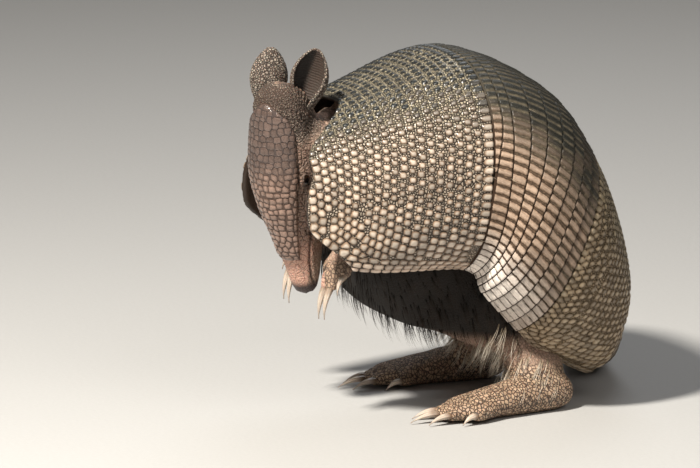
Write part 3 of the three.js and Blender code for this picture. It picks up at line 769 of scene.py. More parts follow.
def head_point(along, angle, grow=0.0):
    """The head's surface at a distance from the crown and degrees round from the forehead."""
    at = np.interp(along, HEAD[:, 0], np.arange(len(HEAD)))
    half, fore, throat = np.moveaxis(through(HEAD, at), -1, 0)[1:]
    up = np.cos(np.radians(angle))
    return in_head(along, (half + grow) * np.sin(np.radians(angle)),
                   up * (np.where(up > 0, fore, throat) + grow))


def trunk_rings():
    """Cross-sections of the trunk: close under the shell, and sagging to the belly's line."""
    at = np.linspace(0, len(TRUNK_STOPS) - 1, (len(TRUNK_STOPS) - 1) * 4 + 1)
    section, fill = through(TRUNK_STOPS, at).T
    s, h = np.meshgrid(section, np.linspace(-1, 1, 61), indexing="ij")
    ring = shell_point(s, h) - frame_at(shell_point, s, h)[2] * (PLATE + UNDER_GAP)
    hem, belly = ring[:, -1:], through(SHELL, section)[:, None, 6:]
    turn = np.linspace(0, np.pi, 26)[1:-1]
    sag = (np.sin(turn) ** 0.8)[None, :, None]
    under = np.concatenate([hem[..., :1] * np.cos(turn)[None, :, None],
                            hem[..., 1:] + (belly - hem[..., 1:]) * sag], -1)
    ring = np.concatenate([ring, under], 1)
    centre = (shell_point(section, 0 * section)
              + np.stack([0 * section, belly[:, 0, 0], belly[:, 0, 1]], -1))[:, None] / 2
    centre[..., 0] = 0
    return ring + (centre - ring) * (1 - np.minimum(fill, 1))[:, None, None]


def sided(stops, side):
    """The same stops on the left, 1, or the right, -1."""
    return [(side * x, *rest) for x, *rest in stops]


def toe_stops(side, start, length, spread):
    """Stops of a hind toe, for `tube`."""
    x = FOOT_X + side
    return [(x - spread * 6, start + 6, 5, 3.2, 3.8), (x, start - 2, 5, 4, 4.4),
            (x + spread * 7, start - 8 * length / 12, 4.6, 3.9, 4.2),
            (x + spread * length, start - length, 4, 2.6, 2.8)]


# The loose skin of the nape lies in a fold across the neck, close under the shield.
NAPE_FOLD = [(-19, -66, 152, 4.5, 4.5), (-14, -67.5, 160, 5.2, 5.2), (-6, -69, 165.6, 5.6, 5.6),
             (2, -69.5, 166.6, 5.6, 5.6), (10, -69, 164.2, 5.6, 5.6), (17, -68, 157, 5, 5),
             (20, -66.5, 150, 4.5, 4.5)]
PALM = np.array([26.5, -75, 89])
along, angle = np.meshgrid(np.linspace(-13, 111, 90), np.arange(0, 360, 6), indexing="ij")
bodies = [closed_tube(trunk_rings()), tube(NECK), closed_tube(head_point(along, angle)),
          tube(NAPE_FOLD)]
for side in (1, -1):
    bodies += [tube(sided(HIND_LEG, side)), tube(sided(HIND_FOOT, side))]
    bodies += [tube(sided(toe_stops(*toe[:4]), side), sides=16) for toe in HIND_TOES]
    limbs = [tube(sided(FORELEG, side)), tube(sided(FOREPAW, side))]
    for root, tip, width in DIGITS:
        root, tip, thick = np.array(root, float), np.array(tip, float), width + 1.2
        stops = [(*p, thick, thick * flat) for p, flat in
                 ((root + (PALM - root) * 0.6, 1), (root, 1), (root + (tip - root) * 0.34, 0.85))]
        limbs.append(tube(sided(stops, side), sides=16))
    bodies += [(points + (RIGHT_PAW if side < 0 else 0), faces) for points, faces in limbs]

form = bmesh.new()
for points, faces in bodies:
    corners = [form.verts.new(p / 1000) for p in points]
    for face in faces:
        form.faces.new([corners[i] for i in face])
bmesh.ops.recalc_face_normals(form, faces=form.faces)
rough_skin = linked("rough_skin", bpy.data.meshes.new("rough_skin"))
form.to_mesh(rough_skin.data)
form.free()
fuse = rough_skin.modifiers.new("fuse", "REMESH")
fuse.mode, fuse.voxel_size = "VOXEL", detail(0.0016, 0.002)


def worked_out(body):
    """A plain mesh of a body with its modifiers worked out."""
    graph = bpy.context.evaluated_depsgraph_get()
    return bpy.data.meshes.new_from_object(body.evaluated_get(graph))


def read(items, field, width=3, kind=float):
    """A number or a vector from each point, edge or corner of a mesh."""
    values = np.empty(len(items) * width, kind)
    items.foreach_get(field, values)
    return values.reshape(-1, width)


def head_place(points):
    """Distances from the crown, to the left and out of the forehead; angle round; radius."""
    way = points - HEAD_AT
    left, fore = way @ head_left, way @ head_fore
    return (way @ head_down, left, fore, np.degrees(np.arctan2(np.abs(left), fore)),
            np.hypot(left, fore))


fused = worked_out(rough_skin)
bpy.data.objects.remove(rough_skin)

# The head and the paws get a finer mesh than the belly.
form = bmesh.new()
form.from_mesh(fused)
points = read(fused.vertices, "co") * 1000
x, y, z = points.T
along, left, fore, angle, radius = head_place(points)
fine = (along > -16) & (radius < 30) & (y < -86) | (y < -68) & (z > 70) & (z < 100)
form.verts.ensure_lookup_table()
edges = [e for e in form.edges if fine[e.verts[0].index] and fine[e.verts[1].index]]
bmesh.ops.subdivide_edges(form, edges=edges, cuts=1, use_grid_fill=True)
form.to_mesh(fused)
form.free()

# The joints are eased: eight times, each point moves half way to its neighbours' middle.
points = read(fused.vertices, "co") * 1000
ends = read(fused.edges, "vertices", 2, int)
links = np.bincount(ends.ravel(), minlength=len(points))[:, None]
for _ in range(8):
    total = np.zeros_like(points)
    for a, b in ((0, 1), (1, 0)):
        np.add.at(total, ends[:, a], points[ends[:, b]])
    points = points + (total / links - points) * 0.5
fused.vertices.foreach_set("co", (points / 1000).ravel())
fused.update()
normal = read(fused.vertex_normals, "vector")


def within(values, low, full, still_full, high):
    """0 below low and above high, and 1 between, with smooth flanks."""
    return smooth(values, low, full) * (1 - smooth(values, still_full, high))


def ripple(distance, pitch, phase=0.0):
    """Waves between 0 and 1, so many millimetres apart."""
    return 0.5 + 0.5 * np.cos(distance * 2 * np.pi / pitch + phase)


def distance_from(*place):
    """How far each point of the skin is from a place in the head."""
    return np.linalg.norm(points - in_head(*place), axis=1)


x, y, z = points.T
along, left, fore, angle, radius = head_place(points)
on_head = smooth(along, -14, -6) * (1 - smooth(radius, 27, 31)) * (y < -80)
wander = np.sin(points @ [0.31, 0.17, 0.23]) + np.sin(points @ [-0.13, 0.37, 0.29] + 1.3)

# Lips: a line that runs along each side of the muzzle and meets under the nose.
lip_angle = np.interp(along, [56, 66, 78, 90, 100, 106, 111], [96, 82, 70, 64, 68, 86, 114])
lip = np.radians(angle - lip_angle) * np.maximum(radius, 3)
press = on_head * smooth(along, 57, 61) * (0.55 * bell(lip - 2.2, 1.3) - 1.25 * bell(lip, 0.55))
# Nostrils, each with a swollen edge.
for side in (1, -1):
    hole = distance_from(109, side * 3.1, 1.6)
    press += 0.35 * bell(hole - 2.2, 0.7) - 1.7 * bell(hole, 1.15)
# Fine slanting wrinkles on the jaw and throat, and deeper folds round the neck and the ears.
under_jaw = on_head * smooth(lip, 1, 4) * smooth(along, 30, 60)
press -= 0.34 * under_jaw * (0.5 + 0.5 * np.sin((along * 0.8 + angle * 0.16 + wander) * 2.2))
neck = (1 - on_head) * (y < -60) * (z > 105) + on_head * (along < 4)
press -= 0.55 * neck * ripple(distance_from(0, 0, -4), 3.1, wander * 1.1)
crown_top = on_head * (1 - smooth(along, 6, 20)) * (angle < 140)
press -= 0.45 * crown_top * ripple(along + 0.25 * np.abs(left) + 0.9 * wander, 2.4)
EAR_ROOTS = {"left": (5, 8, -9.5), "right": (6.5, -15, -7.5)}
for ear_root in EAR_ROOTS.values():
    round_ear = distance_from(*ear_root)
    press -= 0.55 * within(round_ear, 6, 8, 15, 24) * (y < -78) * ripple(round_ear, 1.8, wander)
# Crow's feet round the eyes, and creases across the ankles and toes.
for side in (1, -1):
    round_eye = distance_from(EYE_AT[0], side * EYE_AT[1], EYE_AT[2])
    press -= 0.30 * within(round_eye, 4.6, 5.6, 7.5, 11) * ripple(round_eye, 1.5, wander * 0.7)
foot = (z < 34) & (np.abs(x) > 20)
press -= 0.35 * foot * within(z, 12, 18, 26, 34) * (y < 42) * ripple(z, 3.4, wander)
toes = foot * (1 - smooth(y, -16, -6)) * smooth(z, 5, 7.5)
press -= 0.30 * toes * ripple(y, 3.6, wander * 0.5)
# Painted shade: the deeper the skin is pressed in, the darker it is coloured.
fold_shade_share = np.clip(-press / 0.75, 0, 1)
COAT = 0.35             # the skin lies this far inside the flesh's solid
points = points + normal * (press - COAT)[:, None]


def eye_place(side):
    """The middle of the left eye, 1, or the right, -1, and the way it looks."""
    return (in_head(EYE_AT[0], side * EYE_AT[1], EYE_AT[2]),
            unit(head_left * side * 0.95 + head_fore * 0.30))


# The eyes' sockets: the skin round them is drawn in under the lids.
for side in (1, -1):
    middle, _ = eye_place(side)
    way = points - middle
    far = np.linalg.norm(way, axis=1)
    points += way / np.maximum(far, 1)[:, None] * (0.35 * within(far, 3.8, 4.6, 6, 9))[:, None]
    inside = far < 4.5
    points[inside] = middle + way[inside] / far[inside, None] * 3.4
# Soles lie flat on the floor.
points[:, 2] = np.where(points[:, 2] < 1.0, np.maximum(points[:, 2] - 0.4, 0.0), points[:, 2])
faces = [tuple(p.vertices) for p in fused.polygons]

# The eyelids: rings that close over the eyeball to an almond slit, thick at the rim.
LID_SIDES = 72
LID_RINGS = [(1.12, 3.9), (1.0, 4.30), (1.0, 4.50), (1.08, 4.62)]       # spread, radius
LID_RINGS += [(1.25 + 0.3 * n, 4.66) for n in range(9)]
SLIT, SOCKET = (47, 29), 66         # half angles of the slit, and of the socket's edge
lids = []
for side in (1, -1):
    middle, out = eye_place(side)
    slit = unit(head_down - out * (head_down @ out))
    over = np.cross(out, slit) * side
    turn = np.linspace(0, 2 * np.pi, LID_SIDES, endpoint=False)
    rings = []
    for k, (spread, ball) in enumerate(LID_RINGS):
        share = min(max((spread - 1) / 2.6, 0), 1)
        wide, tall = (np.radians(a * (1 - share) + SOCKET * share) for a in SLIT)
        lean = 1 / np.sqrt((np.cos(turn) / wide) ** 2 + (np.sin(turn) / tall) ** 2)
        fold = 0.16 * np.cos((spread - 1) * 7.5) * (1 - share) * (k > 3)
        rings.append(middle + (ball + fold - 0.35 * share) * (
            np.cos(lean)[:, None] * out + np.sin(lean)[:, None] * (
                np.cos(turn)[:, None] * slit + np.sin(turn)[:, None] * over)))
    quads = grid_faces(len(rings), LID_SIDES, len(points) + sum(map(len, lids)), loop=True)
    lids.append(np.concatenate(rings))
    faces += [tuple(q) for q in (quads if side > 0 else quads[:, ::-1]).tolist()]
skin_points = np.concatenate([points] + lids)
# Painted shade: the lids are darkened, most of all near the slit.
lid_shade = np.repeat([1, 1, 1, 0.9, 0.85, 0.8, 0.7, 0.6, 0.5] + [0.45] * 4, LID_SIDES)
fold_shade_share = np.concatenate([fold_shade_share, lid_shade, lid_shade])

# Its colours: pinkish leather, plated on the feet and cheeks, pebbled on the crown, bare on the
# muzzle and throat, with painted shade in its folds and round the eyes, the throat's pink painted
# brighter for light under the jaw, and painted nearly black under the belly's long hair for the
# shade there.
leather = Finish("skin", Subsurface_Weight=0.08, Subsurface_Scale=0.002)
tint = leather.mix
belly, nose, scaly, fold, cheek, crown, throat = leather.attributes(
    "belly nose scaly fold cheek crown throat")
blotch, grit = leather.noise(9, detail=4), leather.noise(0.8, detail=4, rough=0.7)
creases, beads = leather.cells(1.5, stretch=(1, 1, 0.8)), leather.cells(1.35)
shields, plates = (leather.cells(size, stretch=stretch)
                   for size, stretch in ((3.6, (1, 1, 1.15)), (2.2, (1, 1.2, 1))))
own = leather.add("ShaderNodeSeparateXYZ", {},
                  {"Vector": leather.cells(2.2, "F1", (1, 1.2, 1), out="Color")})
colour = tint(blotch.ramp(0.3, 0.7), (0.580, 0.400, 0.305), (0.390, 0.258, 0.192))
colour = tint(creases.ramp(0.0, 0.20) * 0.6 + 0.4, (0.085, 0.050, 0.034), colour)
colour = tint((grit - 0.3).ramp(0.0, 0.5) * 0.3, colour, (0.10, 0.062, 0.044))
foot_plate = tint(own * 0.7 + grit * 0.3, (0.290, 0.190, 0.125), (0.560, 0.400, 0.280))
cheek_plate = tint(blotch * 0.7 + grit * 0.3, (0.19, 0.120, 0.090), (0.33, 0.220, 0.170))
for share, over in (
        (scaly, tint(plates.ramp(0.02, 0.20), (0.060, 0.036, 0.024), foot_plate)),
        (cheek * 0.8, tint(shields.ramp(0.005, 0.10), (0.080, 0.046, 0.034), cheek_plate)),
        (crown * (blotch.ramp(0.1, 0.6) * 0.25 + 0.75),
         tint(beads.ramp(0.04, 0.30), (0.026, 0.016, 0.011), (0.310, 0.245, 0.195))),
        # Painted shade: skin pressed into folds, wrinkles and nostrils, and the lids, is darkened.
        (fold.ramp(0.15, 0.85) * 0.75, (0.050, 0.028, 0.019)),
        # Partly painted light: the throat is pink, painted brighter for light under the jaw, with
        # painted shade in its folds.
        (throat * 0.85, tint(fold.ramp(0.1, 0.8), (0.74, 0.43, 0.33), (0.21, 0.105, 0.077))),
        # Painted shade: the belly is coloured nearly black for the shade under the body.
        (belly, tint(blotch, (0.004, 0.0028, 0.002), (0.012, 0.0075, 0.005))),
        (nose, (0.045, 0.024, 0.022))):
    colour = tint(share, colour, over)
wrinkle = (creases.ramp(0, 0.25) * 0.7 * (1 - scaly) + plates.ramp(0, 0.18) * scaly
           + shields.ramp(0, 0.16) * cheek * 1.5 + beads.ramp(0, 0.3) * crown * 1.3 + grit * 0.45)
skin_finish = leather.done(colour, 0.55 - nose * 0.25 - scaly * 0.12 + belly * 0.25 + grit * 0.2,
                           wrinkle, depth=0.0004)

x, y, z = skin_points.T
along, left, fore, angle, radius = head_place(skin_points)
by_head = (radius < 30) & (y < -84)
belly_shade_share = np.maximum(within(y, -80, -62, 38, 60) * within(z, 34, 46, 86, 100),
                         smooth(y, 40, 60) * smooth(z, 22, 34))
throat_share = by_head * np.maximum(within(along, 50, 66, 98, 104) * smooth(angle, 72, 90),
                                    0.9 * within(along, 70, 92, 104, 109))
scaly_share = np.maximum((np.abs(x) > 24) * smooth(30 - z, 0, 8), 0.75 * smooth(-y, 70, 75)
                         * smooth(-z, -94, -90) * (z > 60) * (radius > 22))
crown_share = within(along, -30, -14, 12, 24) * (z > 150) \
    * (1 - smooth(angle, 128, 150)) * (1 - smooth(y, -84, -76))
skin = piece("skin", skin_points, faces, skin_finish, belly=belly_shade_share,
             nose=smooth(along, 101, 106) * smooth(fore, -4, -1), scaly=scaly_share,
             fold=fold_shade_share, crown=crown_share, throat=throat_share,
             cheek=within(along, -8, 4, 96, 104) * by_head * (1 - smooth(angle, 84, 100)))
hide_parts("trunk", "neck", "head", "foreleg_left", "foreleg_right", "forepaw_left",
            "forepaw_right", "hindleg_left", "hindleg_right", "hindfoot_left", "hindfoot_right")
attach(skin, "root")


# ---------------------------------------------------------------- eyes
# Each eye is a small dark wet ball, nearly all iris, set deep behind the lids. Its clear front
# bulges a little, and the pupil is hardly darker than the brown round it.

eyeball = Finish("eye", Coat_Weight=1.0, Coat_Roughness=0.03, IOR=1.38)
out_of_pupil, streaks = eyeball.attribute("iris"), eyeball.noise(0.6, detail=2)
iris = eyeball.mix(streaks, (0.007, 0.004, 0.003), (0.020, 0.010, 0.006))
eye_finish = eyeball.done(eyeball.mix(out_of_pupil.ramp(0.36, 0.46), (0.003, 0.002, 0.002), iris),
                          streaks * 0.04 + 0.06)
for name, side in (("eye_left", 1), ("eye_right", -1)):
    middle, out = eye_place(side)
    one = unit(np.cross(out, head_down))
    lean, turn = np.meshgrid(np.linspace(0.02, np.pi - 0.02, 28),
                             np.linspace(0, 2 * np.pi, 40, endpoint=False), indexing="ij")
    cornea = 4.15 + 0.22 * bell(lean, 0.55)
    ways = ((np.cos(lean), out), (np.sin(lean) * np.cos(turn), one),
            (np.sin(lean) * np.sin(turn), np.cross(out, one)))
    ball = middle + cornea[..., None] * sum(part[..., None] * way for part, way in ways)
    points, faces = closed_tube(ball)
    iris_share = np.append(lean.ravel(), (0, np.pi))
    eye = piece(name.replace("eye_", "eyeball_"), points, faces, eye_finish, iris=iris_share)
    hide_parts(name)
    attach(eye, "root")


# ---------------------------------------------------------------- head shield
# A thin plate of irregular horn scutes covers the forehead and the bridge of the muzzle. It is
# rounded behind, where the pebbled skin of the crown starts, and thins out towards the nose.

BROW_START, BROW_LENGTH = -5, 93        # millimetres from the crown


def shield_reach(along):
    """Degrees round from the middle of the forehead to the edge of the head shield."""
    t = (along - BROW_START) / BROW_LENGTH
    return 62 * (1 - 0.40 * np.clip(t, 0, 1) ** 1.5) * (0.62 + 0.38 * smooth(t, 0, 0.2))


BROW_SECTION, BROW_RISE = 50, 1.3       # millimetres


def brow_point(section, share):
    """Outside of the head shield: so many millimetres to a section, shares of 90 degrees."""
    return head_point(np.asarray(section) * BROW_SECTION, np.asarray(share) * 90, BROW_RISE)


head_horn = horn("head_horn", flank=(0.215, 0.137, 0.105), crown=(0.29, 0.195, 0.155),
                 back=(0.100, 0.069, 0.058),
                 small_flank=(0.150, 0.092, 0.068), small_back=(0.070, 0.048, 0.042),
                 wet=0.35, pale=(0.19, 0.122, 0.092), seam=(0.095, 0.056, 0.042),
                 seam_back=(0.056, 0.040, 0.036), gloss=0.27, small=1.2, vary=0.9)
scutes = Scutes(brow_point)
for row, along_at in enumerate(np.arange(-4, 90, 3.5)):
    width = np.interp(along_at, HEAD[:, 0], HEAD[:, 1]) * np.pi / 2 / 90
    pitch = 4.0 + 0.4 * math.sin(along_at)
    for spot in np.arange(-24, 24.1, pitch) + (row % 2) * pitch / 2:
        scutes.add((along_at + rng.uniform(-0.7, 0.7)) / BROW_SECTION,
                   (spot + rng.uniform(-0.6, 0.6)) / width / 90,
                   2.1 * rng.uniform(0.68, 1.35), 2.1 * rng.uniform(0.72, 1.3))
rows, columns = detail((190, 120), (70, 60))
aside = np.linspace(-1, 1, columns)
round_top = 9 * np.abs(aside) ** 2.2     # it is rounded behind
along_grid = np.linspace(0, 1, rows)[:, None] * (BROW_LENGTH - round_top) + BROW_START + round_top
reach = shield_reach(along_grid)
s, h = along_grid / BROW_SECTION, aside * reach / 90
base, normal, room, shade = scutes.press(s, h)
edge = np.minimum(np.minimum(along_grid - BROW_START - round_top,
                             BROW_START + BROW_LENGTH - along_grid) * 0.5,
                  (1 - np.abs(aside)) * reach * 0.33)
height = (0.32 * smooth(room, -0.1, 0.35) + 0.22 * dome(room, 1.6) - 0.54) \
    * (0.35 + 0.65 * smooth(along_grid, 10, 45)) + 0.24 - 1.5 * np.exp(-edge * 1.1)
height = height * np.sign((normal * (base - HEAD_AT)).sum(-1))
brow = plate_piece("brow_shield", base + normal * height[..., None],
                   head_point(along_grid, h * 90, -0.6), head_horn, room=room, rim=edge + 0.3,
                   shade=0.33 + 0.34 * shade, up=1 - smooth(along_grid, 14, 50),
                   hem=(1 - smooth(edge, 0.3, 2.5)) * smooth(along_grid, 10, 40))
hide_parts("head_shield")
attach(brow, "root")


# ---------------------------------------------------------------- ears
# The ears are long leaves of hairless leather rolled into cups. Their backs are pebbled, their
# edges are thick and grey, and the hollow inside, with ridges across it, is painted dark for the
# shade in it, darkest deep down.

EAR_WALL = 1.7              # millimetres thick
EAR_STOPS = np.array([      # height as a share, half width, half depth, half angle of the roll
    (-0.1, 5.4, 4.6, 150), (0.12, 7.2, 5.4, 148), (0.3, 9.6, 6.4, 138), (0.5, 10.9, 6.8, 126),
    (0.68, 9.9, 6, 114), (0.84, 7.2, 4.6, 100), (0.95, 4.2, 3, 92), (1, 2.2, 2, 88)])
EARS = {    # side; root from the head's axis; lean out and back; where the slit looks; length
    "left": (1, EAR_ROOTS["left"], 0.30, 0.28, 20, 35.5),
    "right": (-1, EAR_ROOTS["right"], -0.05, 0.28, -128, 34.5)}
ear_leather = Finish("ear_leather", Subsurface_Weight=0.1, Subsurface_Scale=0.002)
tint = ear_leather.mix
hollow, rim_near, deep, ribs = ear_leather.attributes("hollow edge deep ribs")
pebble, grain = ear_leather.cells(1.35), ear_leather.noise(0.9, detail=4, rough=0.7)
blotch = ear_leather.noise(7, detail=3)
back_of_ear = tint(pebble.ramp(0.03, 0.28), (0.030, 0.019, 0.014), (0.320, 0.268, 0.222))
back_of_ear = tint(blotch.ramp(0.45, 0.75) * 0.5, back_of_ear, (0.10, 0.065, 0.050))
# Painted shade: the hollow inside is painted dark, with ridges across it.
shaded_lining = tint(grain.ramp(0.35, 0.65), (0.026, 0.016, 0.011), (0.052, 0.034, 0.025))
shaded_lining = tint(ribs.ramp(0.2, 0.9) * (grain * 0.5 + 0.2), shaded_lining, (0.045, 0.028, 0.020))
# Painted shade: deep in the hollow it is painted nearly black.
shaded_lining = tint(deep, shaded_lining, (0.012, 0.008, 0.006))
ear_finish = ear_leather.done(tint(hollow * (1 - rim_near), back_of_ear, shaded_lining),
                              0.55 + grain * 0.2, pebble.ramp(0, 0.25) * (1 - hollow)
                              + grain * 0.6, depth=0.00045)


def ear(side, root, lean, back, slit, length):
    """An ear's points and faces, and how hollow, near the edge and deep in painted shade each point
    is.
    """
    base = in_head(*root)
    way = unit(-head_down + side * lean * head_left - back * head_fore)
    slit = math.cos(math.radians(slit)) * head_fore + math.sin(math.radians(slit)) * head_left
    slit = unit(slit - way * (slit @ way))
    across = np.cross(way, slit)
    rows, columns = detail((110, 84), (40, 32))
    at = np.linspace(0, len(EAR_STOPS) - 1, rows)
    height, half, depth, roll = through(EAR_STOPS, at).T[:, :, None]
    angle = roll * np.linspace(-1, 1, columns)
    sine, cosine = np.sin(np.radians(angle)), np.cos(np.radians(angle))

    def wall(inset):
        return (base + way * (height * length + 0 * sine)[..., None]
                + across * ((half - inset) * sine)[..., None]
                - slit * ((depth - inset) * cosine)[..., None])

    middle = wall(EAR_WALL / 2)
    from_edge = np.radians(roll - np.abs(angle)) * (half + depth) / 2
    from_edge = np.minimum(from_edge, (1.0 - height) * length + 0.15)
    thick = np.maximum(1 - rounding(from_edge, 1.1), math.sqrt(0.001))
    out = unit(wall(0) - middle)
    ridge = 0.17 * np.cos(height * length * 2 * np.pi / 1.5 + 1.9 * np.sin(angle * 0.05)
                          + 1.2 * np.sin(angle * 0.11 + 2))
    lump = 0.12 * np.sin(angle * 0.21 + 5 * np.sin(height * 9)) * np.sin(height * length * 2.6)
    outer = middle + out * (thick * (EAR_WALL / 2 - 0.14 + lump))[..., None]
    inner = middle - out * (thick * (EAR_WALL / 2 - 0.05 + ridge))[..., None]
    points = np.concatenate([outer, inner[:, ::-1]], 1)
    faces = grid_faces(rows, columns * 2, loop=True).tolist()
    for row, turned in ((0, 1), (rows - 1, -1)):
        k, first = np.arange(columns - 1), row * columns * 2
        faces += np.stack([first + k, first + k + 1, first + 2 * columns - 2 - k,
                           first + 2 * columns - 1 - k], -1)[:, ::turned].tolist()
    both = lambda a, b: np.concatenate([a + 0 * angle, (b + 0 * angle)[:, ::-1]], 1)
    # Painted shade: a strip down one side of the hollow, and its foot, are painted darkest.
    deep = within(-side * angle, -6, 30, 92, 118) * smooth(height, 0.0, 0.1) \
        + smooth(0.2 - height, 0, 0.15)
    edge = 1 - smooth(from_edge, 0.6, 2.2)
    return points.reshape(-1, 3), faces, {"hollow": both(0, 1), "edge": both(edge, edge),
                                          "deep": both(0, np.minimum(deep, 1)),
                                          "ribs": both(0, 0.5 - ridge / 0.34)}


for name, form_of_ear in EARS.items():
    points, faces, looks = ear(*form_of_ear)
    leaf = piece(f"ear_leaf_{name}", points, faces, ear_finish, **looks)
    form = bmesh.new()
    form.from_mesh(leaf.data)
    bmesh.ops.recalc_face_normals(form, faces=form.faces)
    form.to_mesh(leaf.data)
    form.free()
    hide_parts(f"ear_{name}")
    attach(leaf, "root")


# ---------------------------------------------------------------- claws
# The claws are hollow horn sheaths, ridged along their length. They are brown where they leave
# the toe, ivory along the middle and worn thin and grey at the tip.

sheath = Finish("claw_sheath", IOR=1.5, Subsurface_Weight=0.06, Subsurface_Scale=0.002)
tip_near, round_claw = sheath.attribute("tip"), sheath.attribute("round")
grain, stain = sheath.noise(1.2, detail=4), sheath.noise(5, detail=3)
streak = (round_claw * 26 + grain * 3).maths("SINE") * 0.5 + 0.5
tint = sheath.mix
ivory = tint(streak * 0.45 + stain * 0.3, (0.62, 0.53, 0.45), (0.36, 0.28, 0.215))
ivory = tint((tip_near + (stain - 0.5) * 0.3).ramp(0.0, 0.42), (0.17, 0.105, 0.065), ivory)
ivory = tint(tip_near.ramp(0.72, 1.0) * 0.5, ivory, (0.20, 0.16, 0.125))
claw_finish = sheath.done(ivory, 0.30 + grain * 0.2, streak * 0.5 + grain * 0.6, depth=0.00018)


CLAW_SIDES = 20


def claw(name, root, tip, width, bend, flat, shift=(0, 0, 0)):
    """A claw from root to tip, bowed by `bend` half way and flattened by `flat`."""
    root, tip, bend = (np.array(p, float) for p in (root, tip, bend))
    t = np.linspace(0, 1, 14)
    spine = root + (tip - root) * t[:, None] + bend * (4 * t * (1 - t))[:, None] + shift
    size = np.maximum(width * (1 - t**1.6), 0.4) - 0.05
    points, faces = tube(np.column_stack([spine, size, size * flat]),
                         across=unit(np.cross(tip - root, bend)), sides=CLAW_SIDES, fine=2)
    rings = (len(points) - 2) // CLAW_SIDES
    along = np.append(np.repeat(np.linspace(0, 1, rings), CLAW_SIDES), (0, 1))
    turn = np.abs(np.linspace(-1, 1, CLAW_SIDES, endpoint=False))
    turn = np.append(np.tile(turn, rings), (0, 0))
    body = piece(f"sheath_{name}", points, faces, claw_finish, tip=along, round=turn)
    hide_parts(name)
    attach(body, "root")


for name, side in (("left", 1), ("right", -1)):
    mirror = np.array([side, 1, 1])
    for k, (place_x, start, length, spread, reach) in enumerate(HIND_TOES, 1):
        x = FOOT_X + place_x + spread * length
        claw(f"hindclaw_{name}_{k}", mirror * (x - spread * 3, start - length + 2.5, 4.4),
             mirror * (x + spread * reach, start - length - reach + 1, 0.9), 2.5,
             (0, 0, 1.4), 0.8)
    for k, (root, tip, width) in enumerate(DIGITS, 1):
        root, tip = np.array(root, float), np.array(tip, float)
        claw(f"foreclaw_{name}_{k}", mirror * (root + (tip - root) * 0.2), mirror * tip, width,
             mirror * (0, -1.6, 0.2), 0.75, RIGHT_PAW if side < 0 else (0, 0, 0))


# ---------------------------------------------------------------- tail
# The tail is sheathed in a dozen bony rings, each of three rows of scutes and standing over the
# next, and beyond them the scutes run on in plain rows to the tip.

TAIL_WAY = np.array([[3, 76, 52], [0, 91, 43], [-14, 101, 27], [-38, 110, 15], [-70, 122, 12],
                     [-120, 138, 10], [-180, 150, 7], [-240, 154, 4.5], [-300, 150, 3],
                     [-345, 140, 2]], float)
TAIL_LENGTH, TAIL_BASE, TAIL_END, RING, RINGS = 350, 18.5, 2.0, 15, 12
HIDDEN, FIRST_RING = 18, -6     # how much of the line lies in the body; where ring one starts


def tail_line():
    """The tail's middle line, an even curve through its stops, in many short steps."""
    p = np.concatenate([[2 * TAIL_WAY[0] - TAIL_WAY[1]], TAIL_WAY,
                        [2 * TAIL_WAY[-1] - TAIL_WAY[-2]]])
    line = []
    for a, b, c, d in zip(p, p[1:], p[2:], p[3:]):
        x, y, z = (np.linalg.norm(v) ** 0.5 for v in (b - a, c - b, d - c))
        leave = ((b - a) / x - (c - a) / (x + y) + (c - b) / y) * y
        enter = ((c - b) / y - (d - b) / (y + z) + (d - c) / z) * y
        t = np.linspace(0, 1, 60, endpoint=False)[:, None]
        line.append(b + leave * t + (-3 * b + 3 * c - 2 * leave - enter) * t**2
                    + (2 * b - 2 * c + leave + enter) * t**3)
    return np.concatenate(line + [TAIL_WAY[-1:]])


def tail_radius(length):
    """Half the tail's thickness so far from where it leaves the shell."""
    taper = smooth(np.maximum(length, 0) / TAIL_LENGTH, -0.35, 1) * 1.16 - 0.16
    return TAIL_BASE + (TAIL_END - TAIL_BASE) * np.clip(taper, 0, 1.2)


line = tail_line()
length = np.arange(FIRST_RING, TAIL_LENGTH + 0.1, detail(0.8, 2.0))
ring = np.clip(np.floor((length - FIRST_RING) / RING), 0, RINGS - 1)
start = ring * RING + FIRST_RING
u = (length - start) / RING
ringed = length < RINGS * RING + FIRST_RING
radius = np.where(ringed, tail_radius(start) - 0.9 + (tail_radius(start + RING)
                  - tail_radius(start) + 0.9) * np.clip(u, 0, 1), tail_radius(length) - 0.6)
# Rows of scutes: where each row starts, how long it is, and how many stand round it.
starts = [(k + part) * RING + FIRST_RING for k in range(RINGS) for part in (0.0, 0.26, 0.60)]
while starts[-1] < TAIL_LENGTH + 6:
    starts.append(starts[-1] + (6.0 if starts[-1] < RINGS * RING - 9 else
                                max(4.6 * tail_radius(starts[-1]) / 8.5, 2.6)))
starts = np.array(starts)
row = np.searchsorted(starts, length, side="right") - 1
from_front, from_rear = length - starts[row], starts[row + 1] - length
row_radius = tail_radius(starts[row])
count = np.maximum(np.round(2 * np.pi * row_radius / np.where(ringed, 4.0, 3.4)), 6)
angle = np.linspace(0, 2 * np.pi, detail(204, 90), endpoint=False)
place = angle[None] / (2 * np.pi) * count[:, None] + (row[:, None] % 2) * 0.5
number = np.floor(place).astype(int)
pitch = 2 * np.pi * radius / count
room = np.minimum((0.46 - np.abs(place - number - 0.5)) * pitch[:, None],
                  np.minimum(from_front, from_rear)[:, None] - 0.22)
shade = rng.uniform(0, 1, (len(starts) + 1, int(count.max()) + 2))[row[:, None], number]
lip = np.where(ringed & (row % 3 == 2), 1 - smooth(from_rear, 0, 1.1), 0)
rise = 0.35 * smooth(room, -0.1, 0.4) + 0.22 * dome(room, 1.6) - 0.75
rise = rise - 0.6 * lip[:, None] ** 2 + np.where(ringed, 0.15, 0)[:, None]
centre = np.stack([np.interp(length + HIDDEN, lengths_along(line), column)
                   for column in line.T], -1)
way = unit(np.gradient(centre, axis=0))
aside = unit(np.cross(way, (0, 0, 1)))
top = np.cross(aside, way)
